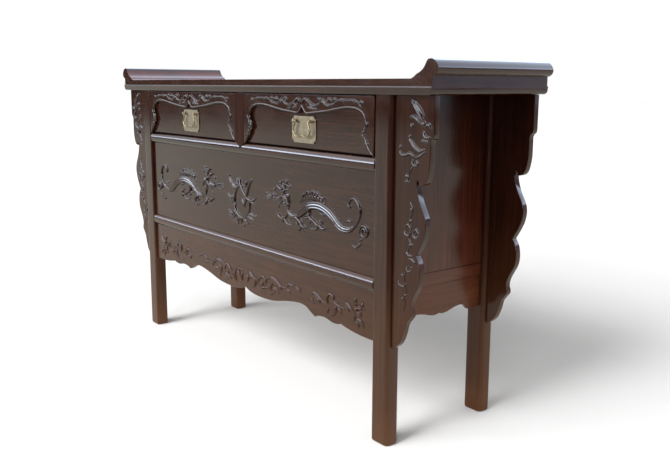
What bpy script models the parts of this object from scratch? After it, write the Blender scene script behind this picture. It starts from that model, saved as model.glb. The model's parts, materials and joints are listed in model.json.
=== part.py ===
"""Altar coffer used as a sideboard: everted top, two drawers over a closed compartment.

The frame stands on the floor at the middle of the piece: +X runs along the front to the
right, -Y is the front and +Z is up. All sizes are in metres.
"""

import math

import bmesh
import bpy
from mathutils import Matrix, Vector
from mathutils.geometry import interpolate_bezier

# Top board and its everted flanges
TOP_LENGTH = 1.531
TOP_DEPTH = 0.3845
TOP_HEIGHT = 0.860
TOP_THICKNESS = 0.0345
EDGE_STEP = 0.004
EDGE_BEAD_DROP = 0.0152
EDGE_BEAD_HEIGHT = 0.0065
FLANGE_WIDTH = 0.0654
FLANGE_RISE = 0.0403
FLANGE_OVERHANG = 0.0155
FLANGE_FOOT_ROUND = 0.0095
TONGUE_LENGTH = 0.012
TONGUE_THICKNESS = 0.010
TONGUE_STOP = 0.060

# Legs and rails
END_OVERHANG = 0.130
EDGE_OVERHANG = 0.00825
LEG_WIDTH = 0.055
LEG_DEPTH = 0.040
LEG_ROUND = 0.006
LEG_ROUND_OUTSIDE = 0.011
FOOT_WEAR = 0.006
DRAWER_OPENING = 0.1425
PANEL_HEIGHT = 0.249
RAIL_HEIGHT = 0.032
RAIL_BULGE = 0.009
BACK_RAIL_RECESS = 0.006
TENON_THICKNESS = 0.010
TENON_SHOULDER = 0.006
TENON_SHARE = 0.34

# Centre stile between the drawers, with its mitred foot let into the rail
STILE_WIDTH = 0.042
STILE_FOOT = 0.016

# Panels and aprons
PANEL_RECESS = 0.009
PANEL_THICKNESS = 0.014
APRON_DROP = 0.1235
APRON_THICKNESS = 0.016
SIDE_RECESS = 0.0155
SIDE_THICKNESS = 0.012
SIDE_RAIL_PROUD = 0.0025
SIDE_RAIL_THICKNESS = 0.022
SIDE_APRON_DROP = 0.083
BACK_PANEL_RECESS = 0.012
BACK_PANEL_THICKNESS = 0.010
FLOOR_THICKNESS = 0.012
FLOOR_BEARER_WIDTH = 0.040
FLOOR_BEARER_SPACING = 0.520

# Hanging spandrels under the overhanging ends of the top
SPANDREL_SETBACK = 0.0085
SPANDREL_DROP = 0.5805
SPANDREL_THICKNESS = 0.016

# Drawers and the strips that carry them
DRAWER_SIDE_GAP = 0.001
DRAWER_TOP_GAP = 0.003
DRAWER_LIFT = 0.0005
ARCH_THICKNESS = 0.008
FIELD_THICKNESS = 0.016
DRAWER_WALL = 0.012
DRAWER_WALL_HEIGHT = 0.104
DRAWER_BACK_SPACE = 0.014
DRAWER_BOTTOM = 0.007
DRAWER_GROOVE = 0.004
RUNNER_WIDTH = 0.025
RUNNER_HEIGHT = 0.020
GUIDE_HEIGHT = 0.030

# Brass pulls
PLATE_WIDTH = 0.102
PLATE_MARGIN_TOP = 0.0055
PLATE_MARGIN_BOTTOM = 0.0165
PLATE_THICKNESS = 0.0018
PLATE_CORNER = 0.008
POST_SPACING = 0.068
POST_STANDOFF = 0.0075
POST_HEAD_RADIUS = 0.0046
POST_SHANK_RADIUS = 0.0022
POST_WAIST = 0.9
POST_CLENCH = 0.003
BAIL_RADIUS = 0.0018
BAIL_BEND = 0.003
EYE_CLEARANCE = 0.0004

# Gap between faces that touch, and the easing of sharp edges
SEAT = 0.0003
EDGE_EASE = 0.0012
EASE_ANGLE = 40

# Straight pieces that stand for a curve
CURVE_STEPS = 3
QUARTER_STEPS = 4
TURN_STEPS = 12

# Outlines, in shares of the piece's own width and height. Each tuple is one smooth
# stretch, and the stretches meet at cusps.
ARCH_STRETCHES = (
    ((0.995, 0.0), (0.940, 0.090), (0.899, 0.205), (0.8805, 0.302)),
    ((0.8805, 0.302), (0.854, 0.327), (0.843, 0.381), (0.857, 0.428), (0.884, 0.450)),
    ((0.884, 0.450), (0.888, 0.550), (0.870, 0.662), (0.825, 0.734), (0.753, 0.773),
     (0.649, 0.781), (0.538, 0.757), (0.359, 0.703), (0.179, 0.666), (0.075, 0.648)),
    ((0.075, 0.648), (0.047, 0.673), (0.021, 0.723), (0.0, 0.773)),
)
ARCH_CROWN_SHARE = 0.648
APRON_STRETCHES = (
    ((1.0, 1.0), (0.896, 0.992), (0.827, 0.956), (0.775, 0.907)),
    ((0.775, 0.907), (0.724, 0.951), (0.655, 0.899), (0.589, 0.968)),
    ((0.589, 0.968), (0.551, 0.883), (0.517, 0.810), (0.482, 0.789), (0.431, 0.810),
     (0.345, 0.879), (0.258, 0.968), (0.155, 1.0), (0.086, 0.988), (0.034, 0.947), (0.0, 0.874)),
)
SIDE_APRON_STRETCHES = (
    ((0.713, 1.0), (0.667, 0.910), (0.613, 0.837), (0.520, 0.807), (0.400, 0.831),
     (0.267, 0.892), (0.147, 0.940), (0.053, 0.934), (0.0, 0.904)),
)
SPANDREL_STRETCHES = (
    ((1.0, 0.139), (0.985, 0.152), (0.940, 0.1605), (0.913, 0.172)),
    ((0.913, 0.172), (0.914, 0.216), (0.910, 0.256), (0.866, 0.301), (0.817, 0.320),
     (0.744, 0.330), (0.669, 0.332)),
    ((0.669, 0.332), (0.651, 0.320), (0.606, 0.313)),
    ((0.606, 0.313), (0.595, 0.332), (0.632, 0.370), (0.706, 0.407), (0.817, 0.449),
     (0.847, 0.479), (0.835, 0.506), (0.781, 0.540), (0.669, 0.581), (0.606, 0.602)),
    ((0.606, 0.602), (0.651, 0.615), (0.706, 0.642), (0.725, 0.680), (0.695, 0.714),
     (0.632, 0.740), (0.539, 0.774), (0.495, 0.800)),
    ((0.495, 0.800), (0.497, 0.817), (0.524, 0.835), (0.510, 0.848)),
    ((0.510, 0.848), (0.428, 0.869), (0.372, 0.885), (0.317, 0.923), (0.242, 0.960),
     (0.149, 0.983), (0.030, 1.0)),
)
EDGE_BEAD = ((1.0, 0.0), (0.2, 0.22), (0.0, 0.55), (0.35, 1.0))
EDGE_SKIRT = 0.5
FLANGE_INNER = (
    (1.0, 0.0), (0.878, 0.087), (0.755, 0.223), (0.572, 0.360), (0.434, 0.533),
    (0.358, 0.695), (0.298, 0.868), (0.235, 0.965), (0.140, 1.0), (0.030, 0.982),
)
FLANGE_OUTER = (
    (0.29, 0.905), (0.63, 0.790), (0.89, 0.640), (1.0, 0.490), (0.89, 0.350), (0.62, 0.235),
    (0.28, 0.165), (0.0, 0.140),
)
BAIL_DROP = (
    (0.88, 0.10), (1.0, 0.24), (1.06, 0.36), (0.93, 0.50), (0.60, 0.585), (0.28, 0.570),
    (0.10, 0.535), (0.0, 0.520),
)
POST_HEIGHT_SHARE = 0.82

# Places worked out from the sizes above
END_X = TOP_LENGTH / 2
CARCASS_LENGTH = TOP_LENGTH - 2 * END_OVERHANG
CARCASS_DEPTH = TOP_DEPTH - 2 * EDGE_OVERHANG
LEG_OUT = CARCASS_LENGTH / 2
LEG_IN = LEG_OUT - LEG_WIDTH
FRONT = -CARCASS_DEPTH / 2
FRAME_IN = CARCASS_DEPTH / 2 - LEG_DEPTH
LEG_MIDDLE = CARCASS_DEPTH / 2 - LEG_DEPTH / 2
TOP_UNDER = TOP_HEIGHT - TOP_THICKNESS
UPPER_RAIL_TOP = TOP_UNDER - DRAWER_OPENING
UPPER_RAIL_LOW = UPPER_RAIL_TOP - RAIL_HEIGHT
LOWER_RAIL_TOP = UPPER_RAIL_LOW - PANEL_HEIGHT
LOWER_RAIL_LOW = LOWER_RAIL_TOP - RAIL_HEIGHT
TENON_LENGTH = TENON_SHARE * LEG_WIDTH
SIDE_TENON_LENGTH = TENON_SHARE * LEG_DEPTH
SIDE_OUT = LEG_OUT - SIDE_RECESS
SIDE_IN = SIDE_OUT - SIDE_THICKNESS
STILE_HALF = STILE_WIDTH / 2
DRAWER_LOW = UPPER_RAIL_TOP + DRAWER_LIFT
DRAWER_HIGH = TOP_UNDER - DRAWER_TOP_GAP
DRAWER_HALF = (LEG_IN - STILE_HALF) / 2 - DRAWER_SIDE_GAP
DRAWER_MIDDLE = (LEG_IN + STILE_HALF) / 2
FIELD_FRONT = FRONT + ARCH_THICKNESS + SEAT
FIELD_BACK = FIELD_FRONT + FIELD_THICKNESS
DRAWER_END = FRAME_IN - DRAWER_BACK_SPACE
BOTTOM_LOW = DRAWER_LOW + DRAWER_GROOVE
ARCH_CROWN = DRAWER_LOW + ARCH_CROWN_SHARE * (DRAWER_HIGH - DRAWER_LOW)
PLATE_LOW = DRAWER_LOW + PLATE_MARGIN_BOTTOM
PLATE_HIGH = ARCH_CROWN - PLATE_MARGIN_TOP
PLATE_FRONT = FIELD_FRONT - SEAT - PLATE_THICKNESS
PIVOT_Y = PLATE_FRONT - POST_STANDOFF
PIVOT_Z = PLATE_LOW + POST_HEIGHT_SHARE * (PLATE_HIGH - PLATE_LOW)
EYE_RADIUS = BAIL_RADIUS + EYE_CLEARANCE

FINISHES = {
    "dark_wood": ("#4A2E26", 0.32, 0.0),
    "inner_wood": ("#7A563C", 0.60, 0.0),
    "brass": ("#B9AA7E", 0.35, 1.0),
}


def clear_scene():
    """Remove every object of the scene that the script starts in."""
    for item in list(bpy.data.objects):
        bpy.data.objects.remove(item, do_unlink=True)


def linear(value):
    """Turn one sRGB channel from 0 to 1 into linear light."""
    if value <= 0.04045:
        return value / 12.92
    return ((value + 0.055) / 1.055) ** 2.4


def finish(node_name, kind):
    """Make a node's own material of one of the three kinds."""
    colour, roughness, metallic = FINISHES[kind]
    channels = [linear(int(colour[i:i + 2], 16) / 255) for i in (1, 3, 5)]
    material = bpy.data.materials.new(f"{node_name}_{kind}")
    material.use_nodes = True
    shader = material.node_tree.nodes["Principled BSDF"]
    shader.inputs["Base Color"].default_value = (*channels, 1.0)
    shader.inputs["Roughness"].default_value = roughness
    shader.inputs["Metallic"].default_value = metallic
    return material


def smooth(points):
    """Draw one smooth stretch through points, with arc-like ends."""
    knots = [Vector((p[0], p[1], 0.0)) for p in points]
    chords = [(b - a).normalized() for a, b in zip(knots, knots[1:])]
    tangents = [(b - a).normalized() for a, b in zip(knots, knots[2:])]
    if not tangents:
        return [tuple(p) for p in points]
    first = 2 * chords[0].dot(tangents[0]) * chords[0] - tangents[0]
    last = 2 * chords[-1].dot(tangents[-1]) * chords[-1] - tangents[-1]
    tangents = [first, *tangents, last]
    drawn = [knots[0]]
    for index, chord in enumerate(zip(knots, knots[1:])):
        start, end = chord
        reach = (end - start).length / 3
        out_handle = start + tangents[index] * reach
        in_handle = end - tangents[index + 1] * reach
        drawn += interpolate_bezier(start, out_handle, in_handle, end, CURVE_STEPS + 1)[1:]
    return [(p.x, p.y) for p in drawn]


def cusped(stretches):
    """Join smooth stretches that meet end to end at cusps."""
    line = []
    for stretch in stretches:
        drawn = smooth(stretch)
        line += drawn[1:] if line else drawn
    return line


def both_halves(half):
    """Mirror a half outline that ends on the middle line, and join the two."""
    return half + [(-u, v) for u, v in reversed(half[:-1])]


def arc(centre, radii, start, end, steps):
    """Points of an elliptical arc, with angles in degrees."""
    points = []
    for step in range(steps + 1):
        angle = math.radians(start + (end - start) * step / steps)
        points.append((centre[0] + radii[0] * math.cos(angle), centre[1] + radii[1] * math.sin(angle)))
    return points


def prism(outline, axis, low, high, bm=None):
    """Extrude a closed outline along an axis, into a bmesh of its own or a given one."""
    bm = bm or bmesh.new()
    places = {
        "X": lambda u, v, w: (w, u, v),
        "Y": lambda u, v, w: (u, w, v),
        "Z": lambda u, v, w: (u, v, w),
    }
    verts = [bm.verts.new(places[axis](u, v, low)) for u, v in outline]
    base = bm.faces.new(verts)
    raised = bmesh.ops.extrude_face_region(bm, geom=[base])["geom"]
    shift = Vector(places[axis](0.0, 0.0, high - low))
    bmesh.ops.translate(bm, vec=shift, verts=[e for e in raised if isinstance(e, bmesh.types.BMVert)])
    return bm


def box(low, high, bm=None):
    """Add a box between two corners, given in any order."""
    x0, x1 = sorted((low[0], high[0]))
    y0, y1 = sorted((low[1], high[1]))
    z0, z1 = sorted((low[2], high[2]))
    return prism([(x0, y0), (x1, y0), (x1, y1), (x0, y1)], "Z", z0, z1, bm)


def turned(profile, centre, bm=None):
    """Turn a profile of (radius, y) points about the Y direction through a centre."""
    bm = bm or bmesh.new()
    rings = []
    for radius, y in profile:
        ring = []
        for step in range(TURN_STEPS):
            angle = 2 * math.pi * step / TURN_STEPS
            spot = (centre[0] + radius * math.cos(angle), y, centre[1] + radius * math.sin(angle))
            ring.append(bm.verts.new(spot))
        rings.append(ring)
    for near, far in zip(rings, rings[1:]):
        for step in range(TURN_STEPS):
            following = (step + 1) % TURN_STEPS
            bm.faces.new((near[step], near[following], far[following], far[step]))
    bm.faces.new(rings[0])
    bm.faces.new(rings[-1])
    return bm


def mesh_object(name, bm):
    """Close a bmesh with its faces outward and link it as an object."""
    bmesh.ops.recalc_face_normals(bm, faces=bm.faces)
    mesh = bpy.data.meshes.new(name)
    bm.to_mesh(mesh)
    bm.free()
    item = bpy.data.objects.new(name, mesh)
    bpy.context.scene.collection.objects.link(item)
    return item


def ease(item, width):
    """Ease an object's sharp edges over a width."""
    bevel = item.modifiers.new("eased_edges", "BEVEL")
    bevel.width = width
    bevel.segments = 1
    bevel.limit_method = "ANGLE"
    bevel.angle_limit = math.radians(EASE_ANGLE)


def node(name, bm, kind="dark_wood", rounded=0.0, parent=None):
    """Make one named piece with its material, eased edges and carrier."""
    item = mesh_object(name, bm)
    item.data.materials.append(finish(name, kind))
    if rounded:
        ease(item, rounded)
    if parent:
        item.parent = parent
        item.matrix_parent_inverse = Matrix.Translation(-carrier_place(parent))
    return item


def carrier_place(empty):
    """World place of an empty, summed along its parents."""
    place = empty.location.copy()
    if empty.parent:
        place += carrier_place(empty.parent)
    return place


def carrier(name, place, parent=None):
    """Add an empty on a joint's axis, to carry the pieces that move there."""
    empty = bpy.data.objects.new(name, None)
    bpy.context.scene.collection.objects.link(empty)
    if parent:
        empty.parent = parent
        empty.location = Vector(place) - carrier_place(parent)
    else:
        empty.location = place
    return empty


def combine(item, bm, operation):
    """Cut, join or intersect an object with hidden solids."""
    tool = mesh_object(f"{operation.lower()}_{item.name}", bm)
    tool.hide_render = True
    tool.display_type = "WIRE"
    boolean = item.modifiers.new(operation.lower(), "BOOLEAN")
    boolean.operation = operation
    boolean.solver = "EXACT"
    boolean.object = tool


def grown(low, high, margin):
    """Corners of a box that is larger by a margin on every side."""
    low_corner = tuple(min(a, b) - margin for a, b in zip(low, high))
    high_corner = tuple(max(a, b) + margin for a, b in zip(low, high))
    return low_corner, high_corner


def sides():
    """The left and right ends: a name and the direction of X."""
    return (("left", -1), ("right", 1))


def rail_tenon(side, depth_sign, rail_low):
    """Corners of a long rail's tenon in one leg."""
    middle = depth_sign * LEG_MIDDLE
    low = (side * LEG_IN, middle - TENON_THICKNESS / 2, rail_low + TENON_SHOULDER)
    high = (side * (LEG_IN + TENON_LENGTH), middle + TENON_THICKNESS / 2,
            rail_low + RAIL_HEIGHT - TENON_SHOULDER)
    return low, high


def side_tenon(side, depth_sign):
    """Corners of a side rail's tenon in one leg."""
    middle = SIDE_OUT + SIDE_RAIL_PROUD - SIDE_RAIL_THICKNESS / 2
    low = (side * (middle - TENON_THICKNESS / 2), depth_sign * FRAME_IN, LOWER_RAIL_LOW + TENON_SHOULDER)
    high = (side * (middle + TENON_THICKNESS / 2), depth_sign * (FRAME_IN + SIDE_TENON_LENGTH),
            LOWER_RAIL_TOP - TENON_SHOULDER)
    return low, high


def join_tenons(item, tenons, axis):
    """Add tenons to a rail, rooted a little inside its ends."""
    bm = bmesh.new()
    for low, high in tenons:
        root = list(low)
        root[axis] -= math.copysign(TENON_THICKNESS, high[axis] - low[axis])
        box(root, high, bm)
    combine(item, bm, "UNION")


def edge_profile(height):
    """Cross-section of the top's moulded long edges, raised straight to a height."""
    half = TOP_DEPTH / 2
    band = half - EDGE_STEP
    bead_top = TOP_HEIGHT - EDGE_BEAD_DROP
    bead = smooth([(half - step * EDGE_STEP, bead_top - drop * EDGE_BEAD_HEIGHT) for step, drop in EDGE_BEAD])
    skirt = [(half - EDGE_SKIRT * EDGE_STEP, TOP_UNDER + EDGE_STEP), (band, TOP_UNDER)]
    edge = [(band, height)] + bead + skirt
    return edge + [(-y, z) for y, z in reversed(edge)]


def build_top():
    """The moulded board and the everted flange pieces tongued onto its ends."""
    joint = END_X - FLANGE_WIDTH
    board = prism(edge_profile(TOP_HEIGHT), "X", -joint + SEAT, joint - SEAT)
    top = node("top_board", board)
    tongues = bmesh.new()
    tongue_z = TOP_UNDER + TOP_THICKNESS / 2
    for name, side in sides():
        low = (side * (joint - TONGUE_LENGTH), TONGUE_STOP - TOP_DEPTH / 2, tongue_z - TONGUE_THICKNESS / 2)
        high = (side * (joint + TONGUE_LENGTH), TOP_DEPTH / 2 - TONGUE_STOP, tongue_z + TONGUE_THICKNESS / 2)
        box(low, high, tongues)
        flange = node(f"flange_{name}", flange_prism(side))
        moulding = prism(edge_profile(TOP_HEIGHT + 2 * FLANGE_RISE), "X",
                         side * (joint - TONGUE_LENGTH), side * (END_X + 2 * FLANGE_OVERHANG))
        combine(flange, moulding, "INTERSECT")
        combine(flange, box(*grown(low, high, SEAT)), "DIFFERENCE")
    combine(top, tongues, "UNION")


def flange_prism(side):
    """One everted flange: concave rise, rolled crest, undercut lip and rounded foot."""
    inner = [(END_X - u * FLANGE_WIDTH, TOP_HEIGHT + v * FLANGE_RISE) for u, v in FLANGE_INNER]
    lip = [(END_X + u * FLANGE_OVERHANG, TOP_HEIGHT + v * FLANGE_RISE) for u, v in FLANGE_OUTER]
    foot_round = min(FLANGE_FOOT_ROUND, TOP_THICKNESS / 2)
    foot = arc((END_X - foot_round, TOP_UNDER + foot_round), (foot_round, foot_round), 0, -90, QUARTER_STEPS)
    outline = smooth(inner + lip) + [(END_X, TOP_HEIGHT)] + foot + [(END_X - FLANGE_WIDTH, TOP_UNDER)]
    return prism([(side * x, z) for x, z in outline], "Y", -TOP_DEPTH / 2, TOP_DEPTH / 2)


def leg_post(middle):
    """A straight leg with rounded corners, rounder on the outside, and a worn foot."""
    outline = []
    for turn, (sign_x, sign_y) in enumerate(((1, 1), (-1, 1), (-1, -1), (1, -1))):
        outside = sign_x * middle[0] > 0
        corner = min(LEG_ROUND_OUTSIDE if outside else LEG_ROUND, LEG_DEPTH / 3)
        spot = (middle[0] + sign_x * (LEG_WIDTH / 2 - corner), middle[1] + sign_y * (LEG_DEPTH / 2 - corner))
        outline += arc(spot, (corner, corner), 90 * turn, 90 * turn + 90, QUARTER_STEPS)
    bm = prism(outline, "Z", 0.0, TOP_UNDER - SEAT)
    sole = [edge for edge in bm.edges if all(vert.co.z < SEAT for vert in edge.verts)]
    bmesh.ops.bevel(bm, geom=sole, offset=FOOT_WEAR, segments=2, profile=0.5, affect="EDGES")
    return bm


def build_legs():
    """Four straight legs, mortised for the rails."""
    for depth_name, depth_sign in (("front", -1), ("back", 1)):
        for name, side in sides():
            middle = (side * (LEG_OUT - LEG_WIDTH / 2), depth_sign * LEG_MIDDLE)
            leg = node(f"leg_{depth_name}_{name}", leg_post(middle))
            mortises = bmesh.new()
            tenons = [rail_tenon(side, depth_sign, z) for z in (UPPER_RAIL_LOW, LOWER_RAIL_LOW)]
            for low, high in tenons + [side_tenon(side, depth_sign)]:
                box(*grown(low, high, SEAT), mortises)
            combine(leg, mortises, "DIFFERENCE")


def half_round_rail(rail_low):
    """A front rail with a half-round face that crests level with the legs."""
    middle = rail_low + RAIL_HEIGHT / 2
    face = arc((FRONT + RAIL_BULGE, middle), (RAIL_BULGE, RAIL_HEIGHT / 2), 90, 270, TURN_STEPS)
    outline = face + [(-FRAME_IN, rail_low), (-FRAME_IN, rail_low + RAIL_HEIGHT)]
    return prism(outline, "X", SEAT - LEG_IN, LEG_IN - SEAT)


def stile_front(margin):
    """Front outline of the centre stile, with the pointed foot, grown by a margin."""
    half = STILE_HALF + margin
    point = UPPER_RAIL_TOP - STILE_FOOT - margin
    return [(half, TOP_UNDER - SEAT), (half, UPPER_RAIL_TOP), (0.0, point),
            (-half, UPPER_RAIL_TOP), (-half, TOP_UNDER - SEAT)]


def build_front():
    """Rails, centre stile, compartment panel and apron of the front."""
    for name, rail_low in (("upper_rail", UPPER_RAIL_LOW), ("lower_rail", LOWER_RAIL_LOW)):
        rail = node(name, half_round_rail(rail_low))
        join_tenons(rail, [rail_tenon(side, -1, rail_low) for _, side in sides()], 0)
        if name == "upper_rail":
            notch = prism(stile_front(SEAT), "Y", FRONT - RAIL_BULGE, FRONT + RAIL_BULGE + SEAT)
            combine(rail, notch, "DIFFERENCE")
    face = prism(stile_front(0.0), "Y", FRONT, FRONT + RAIL_BULGE)
    stile = node("centre_stile", face, rounded=EDGE_EASE)
    post = box((-STILE_HALF, FRONT + RAIL_BULGE / 2, UPPER_RAIL_TOP + SEAT),
               (STILE_HALF, -FRAME_IN, TOP_UNDER - SEAT))
    combine(stile, post, "UNION")
    panel_front = FRONT + PANEL_RECESS
    node("front_panel", box((SEAT - LEG_IN, panel_front, LOWER_RAIL_TOP + SEAT),
                            (LEG_IN - SEAT, panel_front + PANEL_THICKNESS, UPPER_RAIL_LOW - SEAT)))
    top = LOWER_RAIL_LOW - SEAT
    reach = LEG_IN - SEAT
    lower_edge = [(u * reach, LOWER_RAIL_LOW - v * APRON_DROP) for u, v in cusped(APRON_STRETCHES)]
    outline = both_halves(lower_edge) + [(-reach, top), (reach, top)]
    apron = prism(outline, "Y", panel_front, panel_front + APRON_THICKNESS)
    node("front_apron", apron, rounded=EDGE_EASE)


def build_ends():
    """Panel, rail and apron of each short side."""
    reach = FRAME_IN - SEAT
    apron_edge = [(1.0, 1.0)] + cusped(SIDE_APRON_STRETCHES)
    for name, side in sides():
        node(f"side_panel_{name}", box((side * SIDE_IN, -reach, LOWER_RAIL_TOP + SEAT),
                                       (side * SIDE_OUT, reach, TOP_UNDER - SEAT)))
        rail_out = SIDE_OUT + SIDE_RAIL_PROUD
        beam = box((side * (rail_out - SIDE_RAIL_THICKNESS), -reach, LOWER_RAIL_LOW),
                   (side * rail_out, reach, LOWER_RAIL_TOP))
        rail = node(f"side_rail_{name}", beam, rounded=EDGE_EASE)
        join_tenons(rail, [side_tenon(side, sign) for sign in (-1, 1)], 1)
        top = LOWER_RAIL_LOW - SEAT
        lower_edge = [(u * reach, LOWER_RAIL_LOW - v * SIDE_APRON_DROP) for u, v in apron_edge]
        outline = both_halves(lower_edge) + [(-reach, top), (reach, top)]
        inner, outer = sorted((side * SIDE_IN, side * SIDE_OUT))
        node(f"side_apron_{name}", prism(outline, "X", inner, outer), rounded=EDGE_EASE)


def build_back():
    """Two back rails and the plain boards above and between them."""
    outer = CARCASS_DEPTH / 2 - BACK_RAIL_RECESS
    for name, rail_low in (("back_rail_upper", UPPER_RAIL_LOW), ("back_rail_lower", LOWER_RAIL_LOW)):
        beam = box((SEAT - LEG_IN, FRAME_IN, rail_low), (LEG_IN - SEAT, outer, rail_low + RAIL_HEIGHT))
        rail = node(name, beam, rounded=EDGE_EASE)
        join_tenons(rail, [rail_tenon(side, 1, rail_low) for _, side in sides()], 0)
    board_back = CARCASS_DEPTH / 2 - BACK_PANEL_RECESS
    spans = (("lower", LOWER_RAIL_TOP, UPPER_RAIL_LOW), ("upper", UPPER_RAIL_TOP, TOP_UNDER))
    for name, low, high in spans:
        board = box((SEAT - LEG_IN, board_back - BACK_PANEL_THICKNESS, low + SEAT),
                    (LEG_IN - SEAT, board_back, high - SEAT))
        node(f"back_panel_{name}", board)


def build_inside():
    """Compartment floor on its bearers, and the runners and guides of the drawers."""
    reach = FRAME_IN - SEAT
    rail_in = SIDE_OUT + SIDE_RAIL_PROUD - SIDE_RAIL_THICKNESS - SEAT
    floor_top = LOWER_RAIL_TOP - SEAT
    floor_low = floor_top - FLOOR_THICKNESS
    boards = box((-rail_in, -reach, floor_low), (rail_in, reach, floor_top))
    node("compartment_floor", boards, "inner_wood")
    runner_top = UPPER_RAIL_TOP
    runner_low = runner_top - RUNNER_HEIGHT
    guide_low = runner_top + SEAT
    guide_high = guide_low + GUIDE_HEIGHT
    for name, side in sides():
        bearer = side * FLOOR_BEARER_SPACING / 2
        beam = box((bearer - FLOOR_BEARER_WIDTH / 2, -reach, LOWER_RAIL_LOW),
                   (bearer + FLOOR_BEARER_WIDTH / 2, reach, floor_low - SEAT))
        node(f"floor_bearer_{name}", beam, "inner_wood")
        wall = side * (SIDE_IN - SEAT)
        runner = box((side * (LEG_IN - RUNNER_WIDTH), -reach, runner_low), (wall, reach, runner_top))
        node(f"drawer_runner_{name}", runner, "inner_wood")
        guide = box((side * LEG_IN, -reach, guide_low), (wall, reach, guide_high))
        node(f"drawer_guide_{name}", guide, "inner_wood")
    centre = STILE_HALF + RUNNER_WIDTH
    runner = box((-centre, -reach, runner_low), (centre, reach, runner_top))
    node("drawer_runner_centre", runner, "inner_wood")
    guide = box((-STILE_HALF, -reach, guide_low), (STILE_HALF, reach, guide_high))
    node("drawer_guide_centre", guide, "inner_wood")


def build_spandrels():
    """Four long cusped spandrels, hung from the top against the legs' outer faces."""
    inner = LEG_OUT + SEAT
    reach = END_X - SPANDREL_SETBACK - inner
    top = TOP_UNDER - SEAT
    edge = [(1.0, 0.0)] + cusped(SPANDREL_STRETCHES)
    for depth_name, depth_sign in (("front", -1), ("back", 1)):
        middle = depth_sign * LEG_MIDDLE
        for name, side in sides():
            outline = [(side * (inner + u * reach), top - v * SPANDREL_DROP) for u, v in edge]
            outline += [(side * inner, top - SPANDREL_DROP), (side * inner, top)]
            board = prism(outline, "Y", middle - SPANDREL_THICKNESS / 2, middle + SPANDREL_THICKNESS / 2)
            node(f"spandrel_{depth_name}_{name}", board, rounded=EDGE_EASE)


def arch_outline(middle):
    """Front outline of a drawer's arch frame, open at the bottom."""
    height = DRAWER_HIGH - DRAWER_LOW
    half = [(u * DRAWER_HALF, DRAWER_LOW + v * height) for u, v in cusped(ARCH_STRETCHES)]
    outline = both_halves(half)
    outline += [(-DRAWER_HALF, DRAWER_LOW), (-DRAWER_HALF, DRAWER_HIGH)]
    outline += [(DRAWER_HALF, DRAWER_HIGH), (DRAWER_HALF, DRAWER_LOW)]
    return [(middle + x, z) for x, z in outline]


def build_drawer(name, side):
    """One drawer: arch frame on its front board, two sides, back and grooved bottom."""
    middle = side * DRAWER_MIDDLE
    slide = carrier(f"drawer_{name}_slide", (middle, FRONT, DRAWER_LOW))
    arch = prism(arch_outline(middle), "Y", FRONT, FRONT + ARCH_THICKNESS)
    node(f"drawer_arch_{name}", arch, rounded=EDGE_EASE, parent=slide)
    left = middle - DRAWER_HALF
    right = middle + DRAWER_HALF
    field = box((left, FIELD_FRONT, DRAWER_LOW), (right, FIELD_BACK, DRAWER_HIGH))
    front = node(f"drawer_front_{name}", field, parent=slide)
    wall_low = FIELD_BACK + SEAT
    wall_high = DRAWER_LOW + DRAWER_WALL_HEIGHT
    bottom_corners = ((left + DRAWER_WALL - DRAWER_GROOVE, FIELD_BACK - DRAWER_GROOVE, BOTTOM_LOW),
                      (right - DRAWER_WALL + DRAWER_GROOVE, DRAWER_END, BOTTOM_LOW + DRAWER_BOTTOM))
    node(f"drawer_bottom_{name}", box(*bottom_corners), "inner_wood", parent=slide)
    cuts = box(*grown(*bottom_corners, SEAT))
    for x in post_places(middle):
        shank_hole(x, FIELD_FRONT - FIELD_THICKNESS, FIELD_BACK + FIELD_THICKNESS, cuts)
    combine(front, cuts, "DIFFERENCE")
    for wall_name, outer, inner in (("l", left, left + DRAWER_WALL), ("r", right, right - DRAWER_WALL)):
        board = box((outer, wall_low, DRAWER_LOW), (inner, DRAWER_END, wall_high))
        wall = node(f"drawer_{name}_side_{wall_name}", board, "inner_wood", parent=slide)
        combine(wall, box(*grown(*bottom_corners, SEAT)), "DIFFERENCE")
    back_low = BOTTOM_LOW + DRAWER_BOTTOM + SEAT
    back = box((left + DRAWER_WALL + SEAT, DRAWER_END - DRAWER_WALL, back_low),
               (right - DRAWER_WALL - SEAT, DRAWER_END, wall_high))
    node(f"drawer_back_{name}", back, "inner_wood", parent=slide)
    build_pull(name, middle, slide)


def post_places(middle):
    """X of a pull's two posts."""
    return middle - POST_SPACING / 2, middle + POST_SPACING / 2


def shank_hole(x, low, high, bm):
    """Add the cutter of one post's shank hole to a bmesh."""
    radius = POST_SHANK_RADIUS + SEAT
    turned(((radius, low), (radius, high)), (x, PIVOT_Z), bm)


def plate_outline(middle):
    """Brass plate with hollowed corners."""
    corner = min(PLATE_CORNER, (PLATE_HIGH - PLATE_LOW) / 3)
    half = PLATE_WIDTH / 2
    round_trip = (((half, PLATE_HIGH), 270, 180), ((-half, PLATE_HIGH), 0, -90),
                  ((-half, PLATE_LOW), 90, 0), ((half, PLATE_LOW), 180, 90))
    outline = []
    for spot, start, end in round_trip:
        outline += arc((middle + spot[0], spot[1]), (corner, corner), start, end, QUARTER_STEPS)
    return outline


def build_pull(name, middle, slide):
    """Brass plate, two eyed posts clenched through the front, and the hanging bail."""
    sheet = prism(plate_outline(middle), "Y", PLATE_FRONT, PLATE_FRONT + PLATE_THICKNESS)
    plate = node(f"pull_plate_{name}", sheet, "brass", parent=slide)
    holes = bmesh.new()
    for x in post_places(middle):
        shank_hole(x, PLATE_FRONT - FIELD_THICKNESS, FIELD_FRONT, holes)
    combine(plate, holes, "DIFFERENCE")
    for post_name, x in zip(("l", "r"), post_places(middle)):
        build_post(f"pull_post_{name}_{post_name}", x, slide)
    build_bail(name, middle, slide)


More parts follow.
